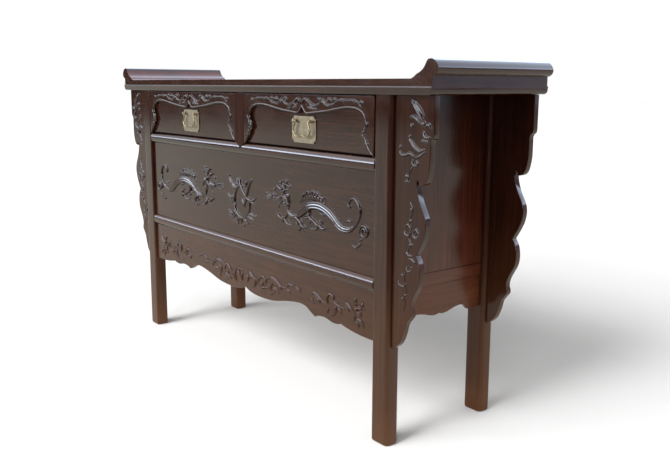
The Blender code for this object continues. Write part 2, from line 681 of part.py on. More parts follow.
def build_post(name, x, slide):
    """One post: shank, collar on the plate, waist and a round eyed head."""
    collar = POST_STANDOFF - POST_HEAD_RADIUS
    seat = PLATE_FRONT - SEAT
    head = arc((0.0, PIVOT_Y), (POST_HEAD_RADIUS, POST_HEAD_RADIUS), 60, -70, 2 * QUARTER_STEPS)
    profile = [(POST_SHANK_RADIUS, FIELD_BACK + POST_CLENCH), (POST_SHANK_RADIUS, seat),
               (POST_HEAD_RADIUS, seat), (POST_HEAD_RADIUS * POST_WAIST, seat - collar / 2)]
    post = node(name, turned(profile + head, (x, PIVOT_Z)), "brass", parent=slide)
    ring = arc((PIVOT_Y, PIVOT_Z), (EYE_RADIUS, EYE_RADIUS), 0, 360, TURN_STEPS)[1:]
    eye = prism(ring, "X", x - 2 * POST_HEAD_RADIUS, x + 2 * POST_HEAD_RADIUS)
    combine(post, eye, "DIFFERENCE")


def build_bail(name, middle, slide):
    """The hanging bail, one bent rod whose turned-out ends sit in the eyes of the posts."""
    pivot = (middle, PIVOT_Y, PIVOT_Z)
    swing = carrier(f"bail_{name}_pivot", pivot, slide)
    height = PLATE_HIGH - PLATE_LOW
    eye = POST_SPACING / 2
    arm = eye - POST_HEAD_RADIUS - EYE_CLEARANCE - BAIL_BEND
    tip = eye + POST_HEAD_RADIUS + BAIL_RADIUS
    elbow = arc((arm + BAIL_BEND, -BAIL_BEND), (BAIL_BEND, BAIL_BEND), 90, 180, QUARTER_STEPS)
    drop = smooth([elbow[-1]] + [(u * eye, -v * height) for u, v in BAIL_DROP])
    route = both_halves([(tip, 0.0)] + elbow + drop[1:])
    curve = bpy.data.curves.new(f"bail_{name}", "CURVE")
    curve.dimensions = "3D"
    curve.bevel_depth = BAIL_RADIUS
    curve.bevel_resolution = 2
    curve.use_fill_caps = True
    spline = curve.splines.new("POLY")
    spline.points.add(len(route) - 1)
    for point, (x, z) in zip(spline.points, route):
        point.co = (x, 0.0, z, 1.0)
    bail = bpy.data.objects.new(f"bail_{name}", curve)
    bpy.context.scene.collection.objects.link(bail)
    curve.materials.append(finish(f"bail_{name}", "brass"))
    bail.parent = swing


def main():
    """Build the coffer piece by piece."""
    clear_scene()
    build_top()
    build_legs()
    build_front()
    build_ends()
    build_back()
    build_inside()
    build_spandrels()
    for name, side in sides():
        build_drawer(name, side)


main()
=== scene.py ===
"""Looks of the altar coffer: lacquered and carved hardwood, brass pulls, studio and camera.

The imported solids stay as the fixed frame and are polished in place. Carving in relief and fine edge
beads are meshes laid on them. Metres, +Z up, front towards -Y; carved strokes are drawn in millimetres.
"""

import json
import logging
import math
from dataclasses import dataclass, replace
from enum import Enum
from functools import partial
from typing import Callable, Sequence

import bmesh
import bpy
import numpy as np
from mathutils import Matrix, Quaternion, Vector

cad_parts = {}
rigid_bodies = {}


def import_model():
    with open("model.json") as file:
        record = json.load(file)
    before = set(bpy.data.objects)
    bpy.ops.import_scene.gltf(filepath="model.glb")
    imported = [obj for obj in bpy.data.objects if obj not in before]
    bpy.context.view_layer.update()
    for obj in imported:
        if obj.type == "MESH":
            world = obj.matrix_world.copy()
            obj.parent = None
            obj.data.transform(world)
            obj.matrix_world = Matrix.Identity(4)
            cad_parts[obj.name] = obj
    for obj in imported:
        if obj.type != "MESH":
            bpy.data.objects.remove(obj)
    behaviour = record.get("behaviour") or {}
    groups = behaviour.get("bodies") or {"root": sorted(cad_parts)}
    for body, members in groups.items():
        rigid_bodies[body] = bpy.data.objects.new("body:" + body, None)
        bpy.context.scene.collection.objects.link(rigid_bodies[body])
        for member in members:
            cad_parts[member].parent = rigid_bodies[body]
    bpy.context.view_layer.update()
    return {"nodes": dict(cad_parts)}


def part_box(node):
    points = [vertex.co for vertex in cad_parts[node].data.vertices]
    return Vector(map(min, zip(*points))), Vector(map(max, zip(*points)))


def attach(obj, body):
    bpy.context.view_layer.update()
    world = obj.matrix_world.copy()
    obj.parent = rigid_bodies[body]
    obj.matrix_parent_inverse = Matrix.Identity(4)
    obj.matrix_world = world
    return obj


LOG = logging.getLogger("altar_coffer")
MM = 0.001
CARCASS = "carcass"
LACQUER_SLOT = "dark_hardwood"
INNER_SLOT = "inner_wood"
CARVED_BOARDS = ("spandrel_", "drawer_arch_")
WHITE = (1.0, 1.0, 1.0, 1.0)
# Sockets of a map range node, and settings that several nodes share.
FROM = (1, 2)
TO = (3, 4)
TIMES = {"operation": "MULTIPLY"}
PLUS_TIMES = {"operation": "MULTIPLY_ADD"}
LARGER = {"operation": "MAXIMUM"}
BLEND = {"data_type": "RGBA"}
TINT = {"data_type": "RGBA", "blend_type": "MULTIPLY", 0: 1.0}
# Shares of the full width along a carved stroke.
SWELL = (0.6, 1.0, 0.6)
POINTED = (0.5, 1.0, 0.5)
LEAFY = (0.3, 0.9, 1.0, 0.75, 0.2)

Point = tuple[float, float]
Colour = tuple[float, float, float, float]


def colour(code: str) -> Colour:
    """Turn an sRGB hex code into linear light.

    Args:
        code: six hex digits after a hash sign.

    Returns:
        Linear red, green, blue and an alpha of 1.
    """
    parts = [int(code[i : i + 2], 16) / 255 for i in (1, 3, 5)]
    linear = [p / 12.92 if p <= 0.04045 else ((p + 0.055) / 1.055) ** 2.4 for p in parts]
    return (linear[0], linear[1], linear[2], 1.0)


def feed(tree: bpy.types.NodeTree, node: bpy.types.Node, links: dict) -> None:
    """Link what feeds a node to its inputs.

    Args:
        tree: the node tree.
        node: the node.
        links: for each input, by socket name or number, an output socket or a node with one result.
    """
    for name, source in links.items():
        if isinstance(source, bpy.types.Node):
            source = next(socket for socket in source.outputs if socket.enabled)
        tree.links.new(source, node.inputs[name])


def add_node(tree: bpy.types.NodeTree, kind: str, settings: dict | None = None,
             links: dict | None = None) -> bpy.types.Node:
    """Add one node to a tree, with its settings and what feeds it.

    Args:
        tree: the node tree.
        kind: the node's type name.
        settings: attributes by name, input values by socket name, number or several numbers, the stops
            of a colour ramp and the points of a curve.
        links: what feeds each input.

    Returns:
        The new node.
    """
    node = tree.nodes.new(kind)
    for name, value in (settings or {}).items():
        if name == "stops":
            stops = node.color_ramp.elements
            while len(stops) < len(value):
                stops.new(1.0)
            for stop, (place, code) in zip(stops, value):
                stop.position = place
                stop.color = colour(code)
        elif name == "points":
            points = node.mapping.curves[0].points
            while len(points) < len(value):
                points.new(1.0, 0.0)
            for point, place in zip(points, value):
                point.location = place
            node.mapping.update()
        elif isinstance(name, tuple):
            for socket, part in zip(name, value):
                node.inputs[socket].default_value = part
        elif isinstance(name, str) and hasattr(node, name):
            setattr(node, name, value)
        else:
            node.inputs[name].default_value = value
    feed(tree, node, links or {})
    return node


def new_material(name: str) -> tuple[bpy.types.Material, bpy.types.NodeTree, bpy.types.Node]:
    """Start a node material.

    Args:
        name: its name.

    Returns:
        The material, its node tree and its shader.
    """
    made = bpy.data.materials.new(name)
    made.use_nodes = True
    return made, made.node_tree, made.node_tree.nodes["Principled BSDF"]


class Grain(Enum):
    """The way that the wood's fibres run in a piece."""

    LENGTH = 0
    DEPTH = 1
    HEIGHT = 2

    def squeeze(self, stretch: float) -> list[float]:
        """Scales that draw a pattern out along the fibres."""
        return [1.0 / stretch if axis == self.value else 1.0 for axis in range(3)]


class Section(Enum):
    """Cross-section that the carver gives a stroke."""

    ROUND = "round"
    VEINED = "veined"
    RIBBED = "ribbed"


@dataclass(frozen=True)
class LacqueredHardwood:
    """Dense red hardwood, planed, stained and rubbed with dark lacquer.

    Gives the eye a near-black red-brown with soft streaks along the grain, a clear gloss that is a
    little uneven from hand rubbing, and paler bare wood where the feet are scuffed.
    """

    name: str = "lacquered_hardwood"
    dark: str = "#2C120B"
    middle: str = "#381B11"
    light: str = "#442418"
    bare: str = "#87583A"
    # Dirt and painted shade in the carving's grooves and hems, and the painted shadow over the drawers' seam.
    recess: str = "#120807"
    # The top and the flanges' inner slopes are painted lighter and redder: painted light from above, and
    # lacquer rubbed thin by handling.
    lit_thin_tone: str = "#763F30"
    lit_thin_share: float = 1.0
    top_height: float = 0.860
    top_fade: float = 2 * MM
    crest_height: float = 0.896
    crest_fade: float = 8 * MM
    # How much a face looks up and in before it takes the painted light and thin lacquer.
    handled: Point = (0.2, 0.6)
    inward: float = 2.0
    streak_mm: float = 11.0
    # Real pores are about 0.3 mm wide; they are drawn wider so that they show at this distance.
    pore_mm: float = 1.6
    pore_tone: float = 0.85
    rub_mm: float = 70.0
    # Share of lacquer rubbed thin at each height: none up high, much of it at the feet.
    wear: tuple[Point, ...] = ((0.0, 0.28), (0.05, 0.23), (0.20, 0.18), (0.34, 0.07), (0.46, 0.0))
    wear_ragged: float = 0.16
    # Painted light and shade by height: tone low down and high up, where boards under the overhang are
    # painted darker as shade.
    painted_light_by_height: Point = (1.0, 1.0)
    painted_light_heights: Point = (0.35, 0.78)
    stretch: float = 22.0
    ior: float = 1.45
    gloss: Point = (0.11, 0.18)
    # Scuffed and sunk places have lost their wax: they are rougher and mirror less. In the carving's darkened
    # grooves and over the drawers' seam the weaker mirroring is painted shade too.
    scuff_matt: float = 0.25
    recess_matt: float = 0.12
    wax: Point = (0.5, 0.3)
    wax_gone: float = 0.25
    recess_dull: float = 0.56
    # Heights between which a painted shadow fades out, where a drawer closes on the rail under it.
    seam_shadow: Point = (-1.0, -0.99)
    # Facets left by the chisel, on carving only.
    tooling: float = 0.0
    chip_mm: float = 7.0

    def material(self, grain: Grain) -> bpy.types.Material:
        """Make the node material.

        Args:
            grain: the way that the fibres run.

        Returns:
            The finished material, with its pattern in the frame's own metres.
        """
        made, tree, shader = new_material(f"{self.name}_{grain.name.lower()}")
        add = partial(add_node, tree)
        shader.inputs["IOR"].default_value = self.ior
        coordinates = add("ShaderNodeTexCoord")
        place = coordinates.outputs["Object"]
        spot = add("ShaderNodeSeparateXYZ", links={0: place})
        height = spot.outputs["Z"]
        along = add("ShaderNodeMapping", {"Scale": grain.squeeze(self.stretch)}, {"Vector": place})
        scale = 1 / (self.streak_mm * MM)
        streaks = add("ShaderNodeTexNoise",
                      {"Scale": scale, "Detail": 5.0, "Roughness": 0.6, "Distortion": 0.8},
                      {"Vector": along})
        pores = add("ShaderNodeTexNoise", {"Scale": 1 / (self.pore_mm * MM), "Detail": 2.0},
                    {"Vector": along})
        rub = add("ShaderNodeTexNoise", {"Scale": 1 / (self.rub_mm * MM), "Detail": 3.0, "Roughness": 0.55},
                  {"Vector": place})
        stops = ((0.32, self.dark), (0.5, self.middle), (0.7, self.light))
        body = add("ShaderNodeValToRGB", {"stops": stops}, {"Fac": streaks})
        pore_tint = add("ShaderNodeMapRange", {FROM: (0.35, 0.6), TO: (self.pore_tone, 1.0)}, {0: pores})
        grained = add("ShaderNodeMix", TINT, {6: body, 7: pore_tint})
        shading = add("ShaderNodeMapRange", {FROM: self.painted_light_heights, TO: self.painted_light_by_height}, {0: height})
        shaded = add("ShaderNodeMix", TINT, {6: grained, 7: shading})
        # Dirt and painted shade darken the carving's grooves, feet and hems, and a painted shadow darkens the
        # drawers' lower seam.
        carved = add("ShaderNodeAttribute", {"attribute_name": "recess"}).outputs["Fac"]
        # Painted shadow along the drawer fronts' lowest millimetres, over the rail.
        seam_shadow_mask = add("ShaderNodeMapRange", {FROM: self.seam_shadow, TO: (1.0, 0.0)}, {0: height})
        relief = add("ShaderNodeMath", LARGER, {0: carved, 1: seam_shadow_mask})
        dirt_and_shade_tone = add("ShaderNodeMix", {**BLEND, 7: colour(self.recess)}, {0: relief, 6: shaded})
        # The top and the slopes that look up and in, below the flanges' crest, get painted light from above
        # and lacquer rubbed thin by hands.
        facing = add("ShaderNodeSeparateXYZ", links={0: coordinates.outputs["Normal"]})
        outward = add("ShaderNodeMath", TIMES, {0: spot.outputs["X"], 1: facing.outputs["X"]})
        leaning = add("ShaderNodeMath", {**PLUS_TIMES, 1: -self.inward},
                      {0: outward, 2: facing.outputs["Z"]})
        upper = add("ShaderNodeMapRange", {FROM: self.handled}, {0: leaning})
        top = (self.top_height - self.top_fade, self.top_height)
        over = add("ShaderNodeMapRange", {FROM: top}, {0: height})
        under = (self.crest_height, self.crest_height - self.crest_fade)
        crest = add("ShaderNodeMapRange", {FROM: under}, {0: height})
        both = add("ShaderNodeMath", TIMES, {0: over, 1: crest})
        lit_and_handled = add("ShaderNodeMath", TIMES, {0: both, 1: upper})
        patchy = (0.5 * self.lit_thin_share, self.lit_thin_share)
        cloudy = add("ShaderNodeMapRange", {FROM: (0.3, 0.65), TO: patchy}, {0: rub})
        rubbed = add("ShaderNodeMath", TIMES, {0: lit_and_handled, 1: cloudy})
        lit_and_thinned = add("ShaderNodeMix", {**BLEND, 7: colour(self.lit_thin_tone)}, {0: rubbed, 6: dirt_and_shade_tone})
        ragged = add("ShaderNodeMath", {**PLUS_TIMES, 1: -self.wear_ragged}, {0: rub, 2: height})
        scuff = add("ShaderNodeFloatCurve", {0: 1.0, "points": self.wear}, {1: ragged})
        scuffed = add("ShaderNodeMix", {**BLEND, 7: colour(self.bare)}, {0: scuff, 6: lit_and_thinned})
        gloss = add("ShaderNodeMapRange", {FROM: (0.3, 0.7), TO: self.gloss}, {0: rub})
        matted = add("ShaderNodeMath", {**PLUS_TIMES, 1: self.recess_matt}, {0: relief, 2: gloss})
        dulled = add("ShaderNodeMath", {**PLUS_TIMES, 1: self.scuff_matt}, {0: scuff, 2: matted})
        waxed = add("ShaderNodeMapRange", {FROM: (0.0, self.wax_gone), TO: self.wax}, {0: scuff})
        shine = add("ShaderNodeMath", {**PLUS_TIMES, 1: -self.recess_dull, "use_clamp": True},
                    {0: relief, 2: waxed})
        fine = add("ShaderNodeBump", {"Strength": 0.05, "Distance": 0.3 * MM}, {"Height": pores})
        wavy = add("ShaderNodeBump", {"Strength": 0.06, "Distance": 0.8 * MM},
                   {"Height": streaks, "Normal": fine})
        chips = add("ShaderNodeTexNoise", {"Scale": 1 / (self.chip_mm * MM), "Detail": 1.0},
                    {"Vector": place})
        tooled = add("ShaderNodeBump", {"Strength": self.tooling, "Distance": 0.8 * MM},
                     {"Height": chips, "Normal": wavy})
        feed(tree, shader, {"Specular IOR Level": shine, "Base Color": scuffed, "Roughness": dulled,
                            "Normal": tooled})
        return made


@dataclass(frozen=True)
class PlanedSoftwood:
    """Plain secondary wood, planed and left unlacquered inside the case.

    Gives the eye a dry, matt, mid-brown board with clear streaks.
    """

    dark: str = "#7A5636"
    light: str = "#A57E55"
    streak_mm: float = 9.0
    stretch: float = 18.0
    roughness: float = 0.7

    def material(self, grain: Grain) -> bpy.types.Material:
        """Make the node material.

        Args:
            grain: the way that the fibres run.

        Returns:
            The finished material.
        """
        made, tree, shader = new_material(f"planed_softwood_{grain.name.lower()}")
        add = partial(add_node, tree)
        shader.inputs["Roughness"].default_value = self.roughness
        place = add("ShaderNodeTexCoord").outputs["Object"]
        along = add("ShaderNodeMapping", {"Scale": grain.squeeze(self.stretch)}, {"Vector": place})
        scale = 1 / (self.streak_mm * MM)
        streaks = add("ShaderNodeTexNoise",
                      {"Scale": scale, "Detail": 6.0, "Roughness": 0.62, "Distortion": 1.0},
                      {"Vector": along})
        body = add("ShaderNodeValToRGB", {"stops": ((0.35, self.dark), (0.68, self.light))},
                   {"Fac": streaks})
        fibre = add("ShaderNodeBump", {"Strength": 0.2, "Distance": 0.6 * MM}, {"Height": streaks})
        feed(tree, shader, {"Base Color": body, "Normal": fibre})
        return made


@dataclass(frozen=True)
class AgedBrass:
    """Cast and filed brass, handled for years.

    Gives the eye a pale yellow metal, dulled in cloudy patches, with fine file marks.
    """

    name: str = "aged_cast_brass"
    bright: str = "#6E634F"
    dull: str = "#625745"
    polish: Point = (0.55, 0.42)
    cloud_mm: float = 9.0
    # File marks are under 0.2 mm apart; they are drawn wider so that they show.
    mark_mm: float = 0.9

    def material(self) -> bpy.types.Material:
        """Make the node material.

        Returns:
            The finished material.
        """
        made, tree, shader = new_material(self.name)
        add = partial(add_node, tree)
        shader.inputs["Metallic"].default_value = 1.0
        place = add("ShaderNodeTexCoord").outputs["Object"]
        clouds = add("ShaderNodeTexNoise",
                     {"Scale": 1 / (self.cloud_mm * MM), "Detail": 4.0, "Roughness": 0.6},
                     {"Vector": place})
        marks = add("ShaderNodeTexNoise", {"Scale": 1 / (self.mark_mm * MM), "Detail": 2.0},
                    {"Vector": place})
        body = add("ShaderNodeValToRGB", {"stops": ((0.34, self.dull), (0.62, self.bright))},
                   {"Fac": clouds})
        rough = add("ShaderNodeMapRange", {FROM: (0.3, 0.7), TO: self.polish}, {0: clouds})
        filed = add("ShaderNodeBump", {"Strength": 0.18, "Distance": 0.3 * MM}, {"Height": marks})
        feed(tree, shader, {"Base Color": body, "Roughness": rough, "Normal": filed})
        return made


class Coat(Enum):
    """How a piece of wood is finished."""

    POLISHED = LacqueredHardwood()
    # The ends are hardly polished by use, so what they mirror is soft. They are painted lighter low down and
    # darker up under the overhang, as light and shade.
    SATIN = LacqueredHardwood("satin_lacquer", "#36140B", "#421C11", "#4F2619", painted_light_by_height=(1.4, 0.45),
                              gloss=(0.20, 0.24))
    # The top is used and wiped every day, so its gloss is gone.
    WORN = LacqueredHardwood("worn_lacquer", lit_thin_tone="#5A2E22", lit_thin_share=0.5, ior=1.06, gloss=(0.45, 0.55))
    # Carved boards can't be rubbed out between the carving, so their ground is drier.
    DRY = LacqueredHardwood("dry_lacquer", ior=1.35, gloss=(0.12, 0.18))
    # A matt coat that mirrors little darkens the stile between the drawers, standing in for the shade there.
    MATT = LacqueredHardwood("matt_lacquer", ior=1.15, gloss=(0.2, 0.28))
    # Drawer fronts carry a painted shadow just over the rail that they close on.
    DRAWER = LacqueredHardwood("drawer_lacquer", seam_shadow=(0.6865, 0.6895))
    # Carving keeps more wax and is rubbed by every hand, so its edges glint.
    CARVED = LacqueredHardwood("waxed_carving", ior=1.55, gloss=(0.06, 0.11), tooling=0.2)
    INNER = PlanedSoftwood()


@dataclass
class Finishes:
    """Every finish of the piece, made once."""

    wood: dict[tuple[Coat, Grain], bpy.types.Material]
    brass: bpy.types.Material
    rubbed_brass: bpy.types.Material
    # Lacquered pieces whose coat isn't the polished one, by the start of their names.
    coats: tuple[tuple[tuple[str, ...], Coat], ...] = (
        # The back legs take the dry coat, which mirrors less, standing in for the shade in the corner behind
        # the side.
        (CARVED_BOARDS + ("leg_back_",), Coat.DRY),
        (("centre_stile",), Coat.MATT),
        (("drawer_front_",), Coat.DRAWER),
        (("side_",), Coat.SATIN),
    )
    # Faces that lie flat enough to be a carved board's edge or the top's surface.
    edge_normal: float = 0.7
    top_normal: float = 0.95

    @classmethod
    def make(cls) -> "Finishes":
        """Make the materials for every grain direction.

        Returns:
            The finishes.
        """
        wood = {(coat, grain): coat.value.material(grain) for coat in Coat for grain in Grain}
        # The bail and its posts are rubbed bright by hands.
        rubbed = AgedBrass("rubbed_cast_brass", "#8C7C5E", "#74674F", (0.32, 0.22))
        return cls(wood, AgedBrass().material(), rubbed.material())

    def grain_of(self, node: str) -> Grain:
        """Find the way that the fibres run in a solid, by its longest side.

        Args:
            node: the solid's name.

        Returns:
            The grain.
        """
        low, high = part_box(node)
        sides = [high[axis] - low[axis] for axis in range(3)]
        return Grain(sides.index(max(sides)))

    def dress(self, name: str, node: bpy.types.Object) -> None:
        """Give a solid its finish.

        Args:
            name: the solid's name.
            node: its object.
        """
        slot = node.data.materials[0].name.split(".")[0]
        grain = self.grain_of(name)
        choice = self.rubbed_brass if name.startswith(("bail_", "pull_post_")) else self.brass
        if slot == LACQUER_SLOT:
            coat = next((coat for starts, coat in self.coats if name.startswith(starts)), Coat.POLISHED)
            choice = self.wood[coat, grain]
        elif slot == INNER_SLOT:
            choice = self.wood[Coat.INNER, grain]
        for index in range(len(node.data.materials)):
            node.data.materials[index] = choice
        if name.startswith(CARVED_BOARDS):
            self._vary(node, self.wood[Coat.POLISHED, grain], lambda normal: abs(normal.y) < self.edge_normal)
        elif name == "top_board":
            self._vary(node, self.wood[Coat.WORN, grain], lambda normal: normal.z > self.top_normal)
        LOG.info("%s: %s", name, choice.name)

    def _vary(self, node: bpy.types.Object, finish: bpy.types.Material,
              chosen: Callable[[Vector], bool]) -> None:
        """Give some faces of a solid another finish.

        Args:
            node: the solid.
            finish: the other finish.
            chosen: tells from a face's normal whether it is meant.
        """
        node.data.materials.append(finish)
        last = len(node.data.materials) - 1
        for face in node.data.polygons:
            if chosen(face.normal):
                face.material_index = last


@dataclass
class Polish:
    """Shading of the solids: eased arrises without a change of shape."""

    sharp: float = math.radians(50)
    weld: float = 0.01 * MM

    def group(self) -> bpy.types.GeometryNodeTree:
        """Make the node group that welds split corners and smooths all but hard edges.

        Returns:
            The node group.
        """
        tree = bpy.data.node_groups.new("eased_arrises", "GeometryNodeTree")
        for way in ("INPUT", "OUTPUT"):
            tree.interface.new_socket("Geometry", in_out=way, socket_type="NodeSocketGeometry")
        add = partial(add_node, tree)
        given = add("NodeGroupInput").outputs[0]
        plain = add("GeometryNodeRemoveAttribute", {"Name": "custom_normal"}, {0: given})
        whole = add("GeometryNodeMergeByDistance", {"Distance": self.weld}, {0: plain})
        soft = add("GeometryNodeSetShadeSmooth", {"domain": "FACE"}, {0: whole})
        angle = add("GeometryNodeInputMeshEdgeAngle").outputs["Unsigned Angle"]
        hard = add("FunctionNodeCompare",
                   {"data_type": "FLOAT", "operation": "GREATER_THAN", 1: self.sharp},
                   {0: angle})
        edged = add("GeometryNodeSetShadeSmooth", {"domain": "EDGE", "Shade Smooth": False},
                    {0: soft, "Selection": hard})
        add("NodeGroupOutput", links={0: edged})
        return tree

    def apply(self, nodes: Sequence[bpy.types.Object]) -> None:
        """Give each solid the shading.

        Args:
            nodes: the solids.
        """
        tree = self.group()
        for node in nodes:
            eased = node.modifiers.new("eased_arrises", "NODES")
            eased.node_group = tree
            weighted = node.modifiers.new("flat_faces", "WEIGHTED_NORMAL")
            weighted.keep_sharp = True


@dataclass(frozen=True)
class Stroke:
    """One carved stroke in relief: a line on the board with a width and a rise.

    Line and width are in millimetres, and the rise is a share of the whole carving's. The width's shares
    are evenly spaced along the line.
    """

    line: tuple[Point, ...]
    width: float
    rise: float = 1.0
    shares: tuple[float, ...] = (0.45, 1.0, 0.9, 0.3)
    section: Section = Section.ROUND

    def mirrored(self) -> "Stroke":
        """The same stroke on the other half of the board."""
        return replace(self, line=tuple((-x, z) for x, z in self.line))

    def shifted(self, distance: float) -> "Stroke":
        """The same stroke, moved along the length."""
        return replace(self, line=tuple((x + distance, z) for x, z in self.line))


def smooth_path(knots: np.ndarray, spacing: float, samples: int = 20) -> np.ndarray:
    """Run an even curve through points, as a carver's long cut does.

    Args:
        knots: two or more places on the board.
        spacing: distance between the places returned.
        samples: steps between two knots while the curve is measured.

    Returns:
        Places as rows of x and z.
    """
    padded = np.vstack([2 * knots[0] - knots[1], knots, 2 * knots[-1] - knots[-2]])
    share = np.linspace(0.0, 1.0, samples, endpoint=False)[:, None]
    runs = []
    for before, start, end, after in zip(padded, padded[1:], padded[2:], padded[3:]):
        square = 2 * before - 5 * start + 4 * end - after
        cube = 3 * start - before - 3 * end + after
        runs.append(0.5 * (2 * start + (end - before) * share + square * share**2 + cube * share**3))
    dense = np.vstack(runs + [knots[-1:]])
    along = np.concatenate([[0.0], np.cumsum(np.hypot(*np.diff(dense, axis=0).T))])
    even = np.linspace(0.0, along[-1], max(4, int(along[-1] / spacing) + 1))
    return np.column_stack([np.interp(even, along, dense[:, axis]) for axis in (0, 1)])


def leaf(start: Point, end: Point, width: float, rise: float, bend: float = 0.15,
         section: Section = Section.VEINED) -> Stroke:
    """A pointed leaf between two places.

    Args:
        start: the stalk end.
        end: the tip.
        width: widest part.
        rise: share of the carving's rise.
        bend: how far the middle leans to the left of the way, as a share of the length.
        section: cross-section of the stroke.

    Returns:
        The stroke.
    """
    run = (end[0] - start[0], end[1] - start[1])
    middle = (start[0] + run[0] / 2 - run[1] * bend, start[1] + run[1] / 2 + run[0] * bend)
    return Stroke((start, middle, end), width, rise, (0.35, 0.9, 1.0, 0.7, 0.15), section)


def long_leaf(line: tuple[Point, ...], width: float, rise: float) -> Stroke:
    """A veined leaf that follows a line."""
    return Stroke(line, width, rise, LEAFY, Section.VEINED)


def curl(centre: Point, radius: float, start: float, turn: float, width: float, rise: float) -> Stroke:
    """A scroll that winds inwards.

    Args:
        centre: middle of the scroll.
        radius: outer radius.
        start: angle of the outer end in degrees, from +X towards +Z.
        turn: degrees that it winds through; negative winds the other way.
        width: width of the outer end.
        rise: share of the carving's rise.

    Returns:
        The stroke.
    """
    step_degrees = 40
    shrink = 0.62
    steps = max(5, int(abs(turn) / step_degrees))
    line = []
    for step in range(steps + 1):
        share = step / steps
        angle = math.radians(start + turn * share)
        reach = radius * (1.0 - shrink * share)
        line.append((centre[0] + reach * math.cos(angle), centre[1] + reach * math.sin(angle)))
    return Stroke(tuple(line), width, rise, (0.6, 1.0, 0.9, 0.8, 0.95))


def bud(place: Point, radius: float, rise: float) -> Stroke:
    """A small round knob.

    Args:
        place: its middle.
        radius: its radius.
        rise: share of the carving's rise.

    Returns:
        The stroke.
    """
    reach = radius * 0.15
    line = ((place[0] - reach, place[1]), (place[0] + reach, place[1]))
    return Stroke(line, 2 * radius, rise, (1.0, 1.0))


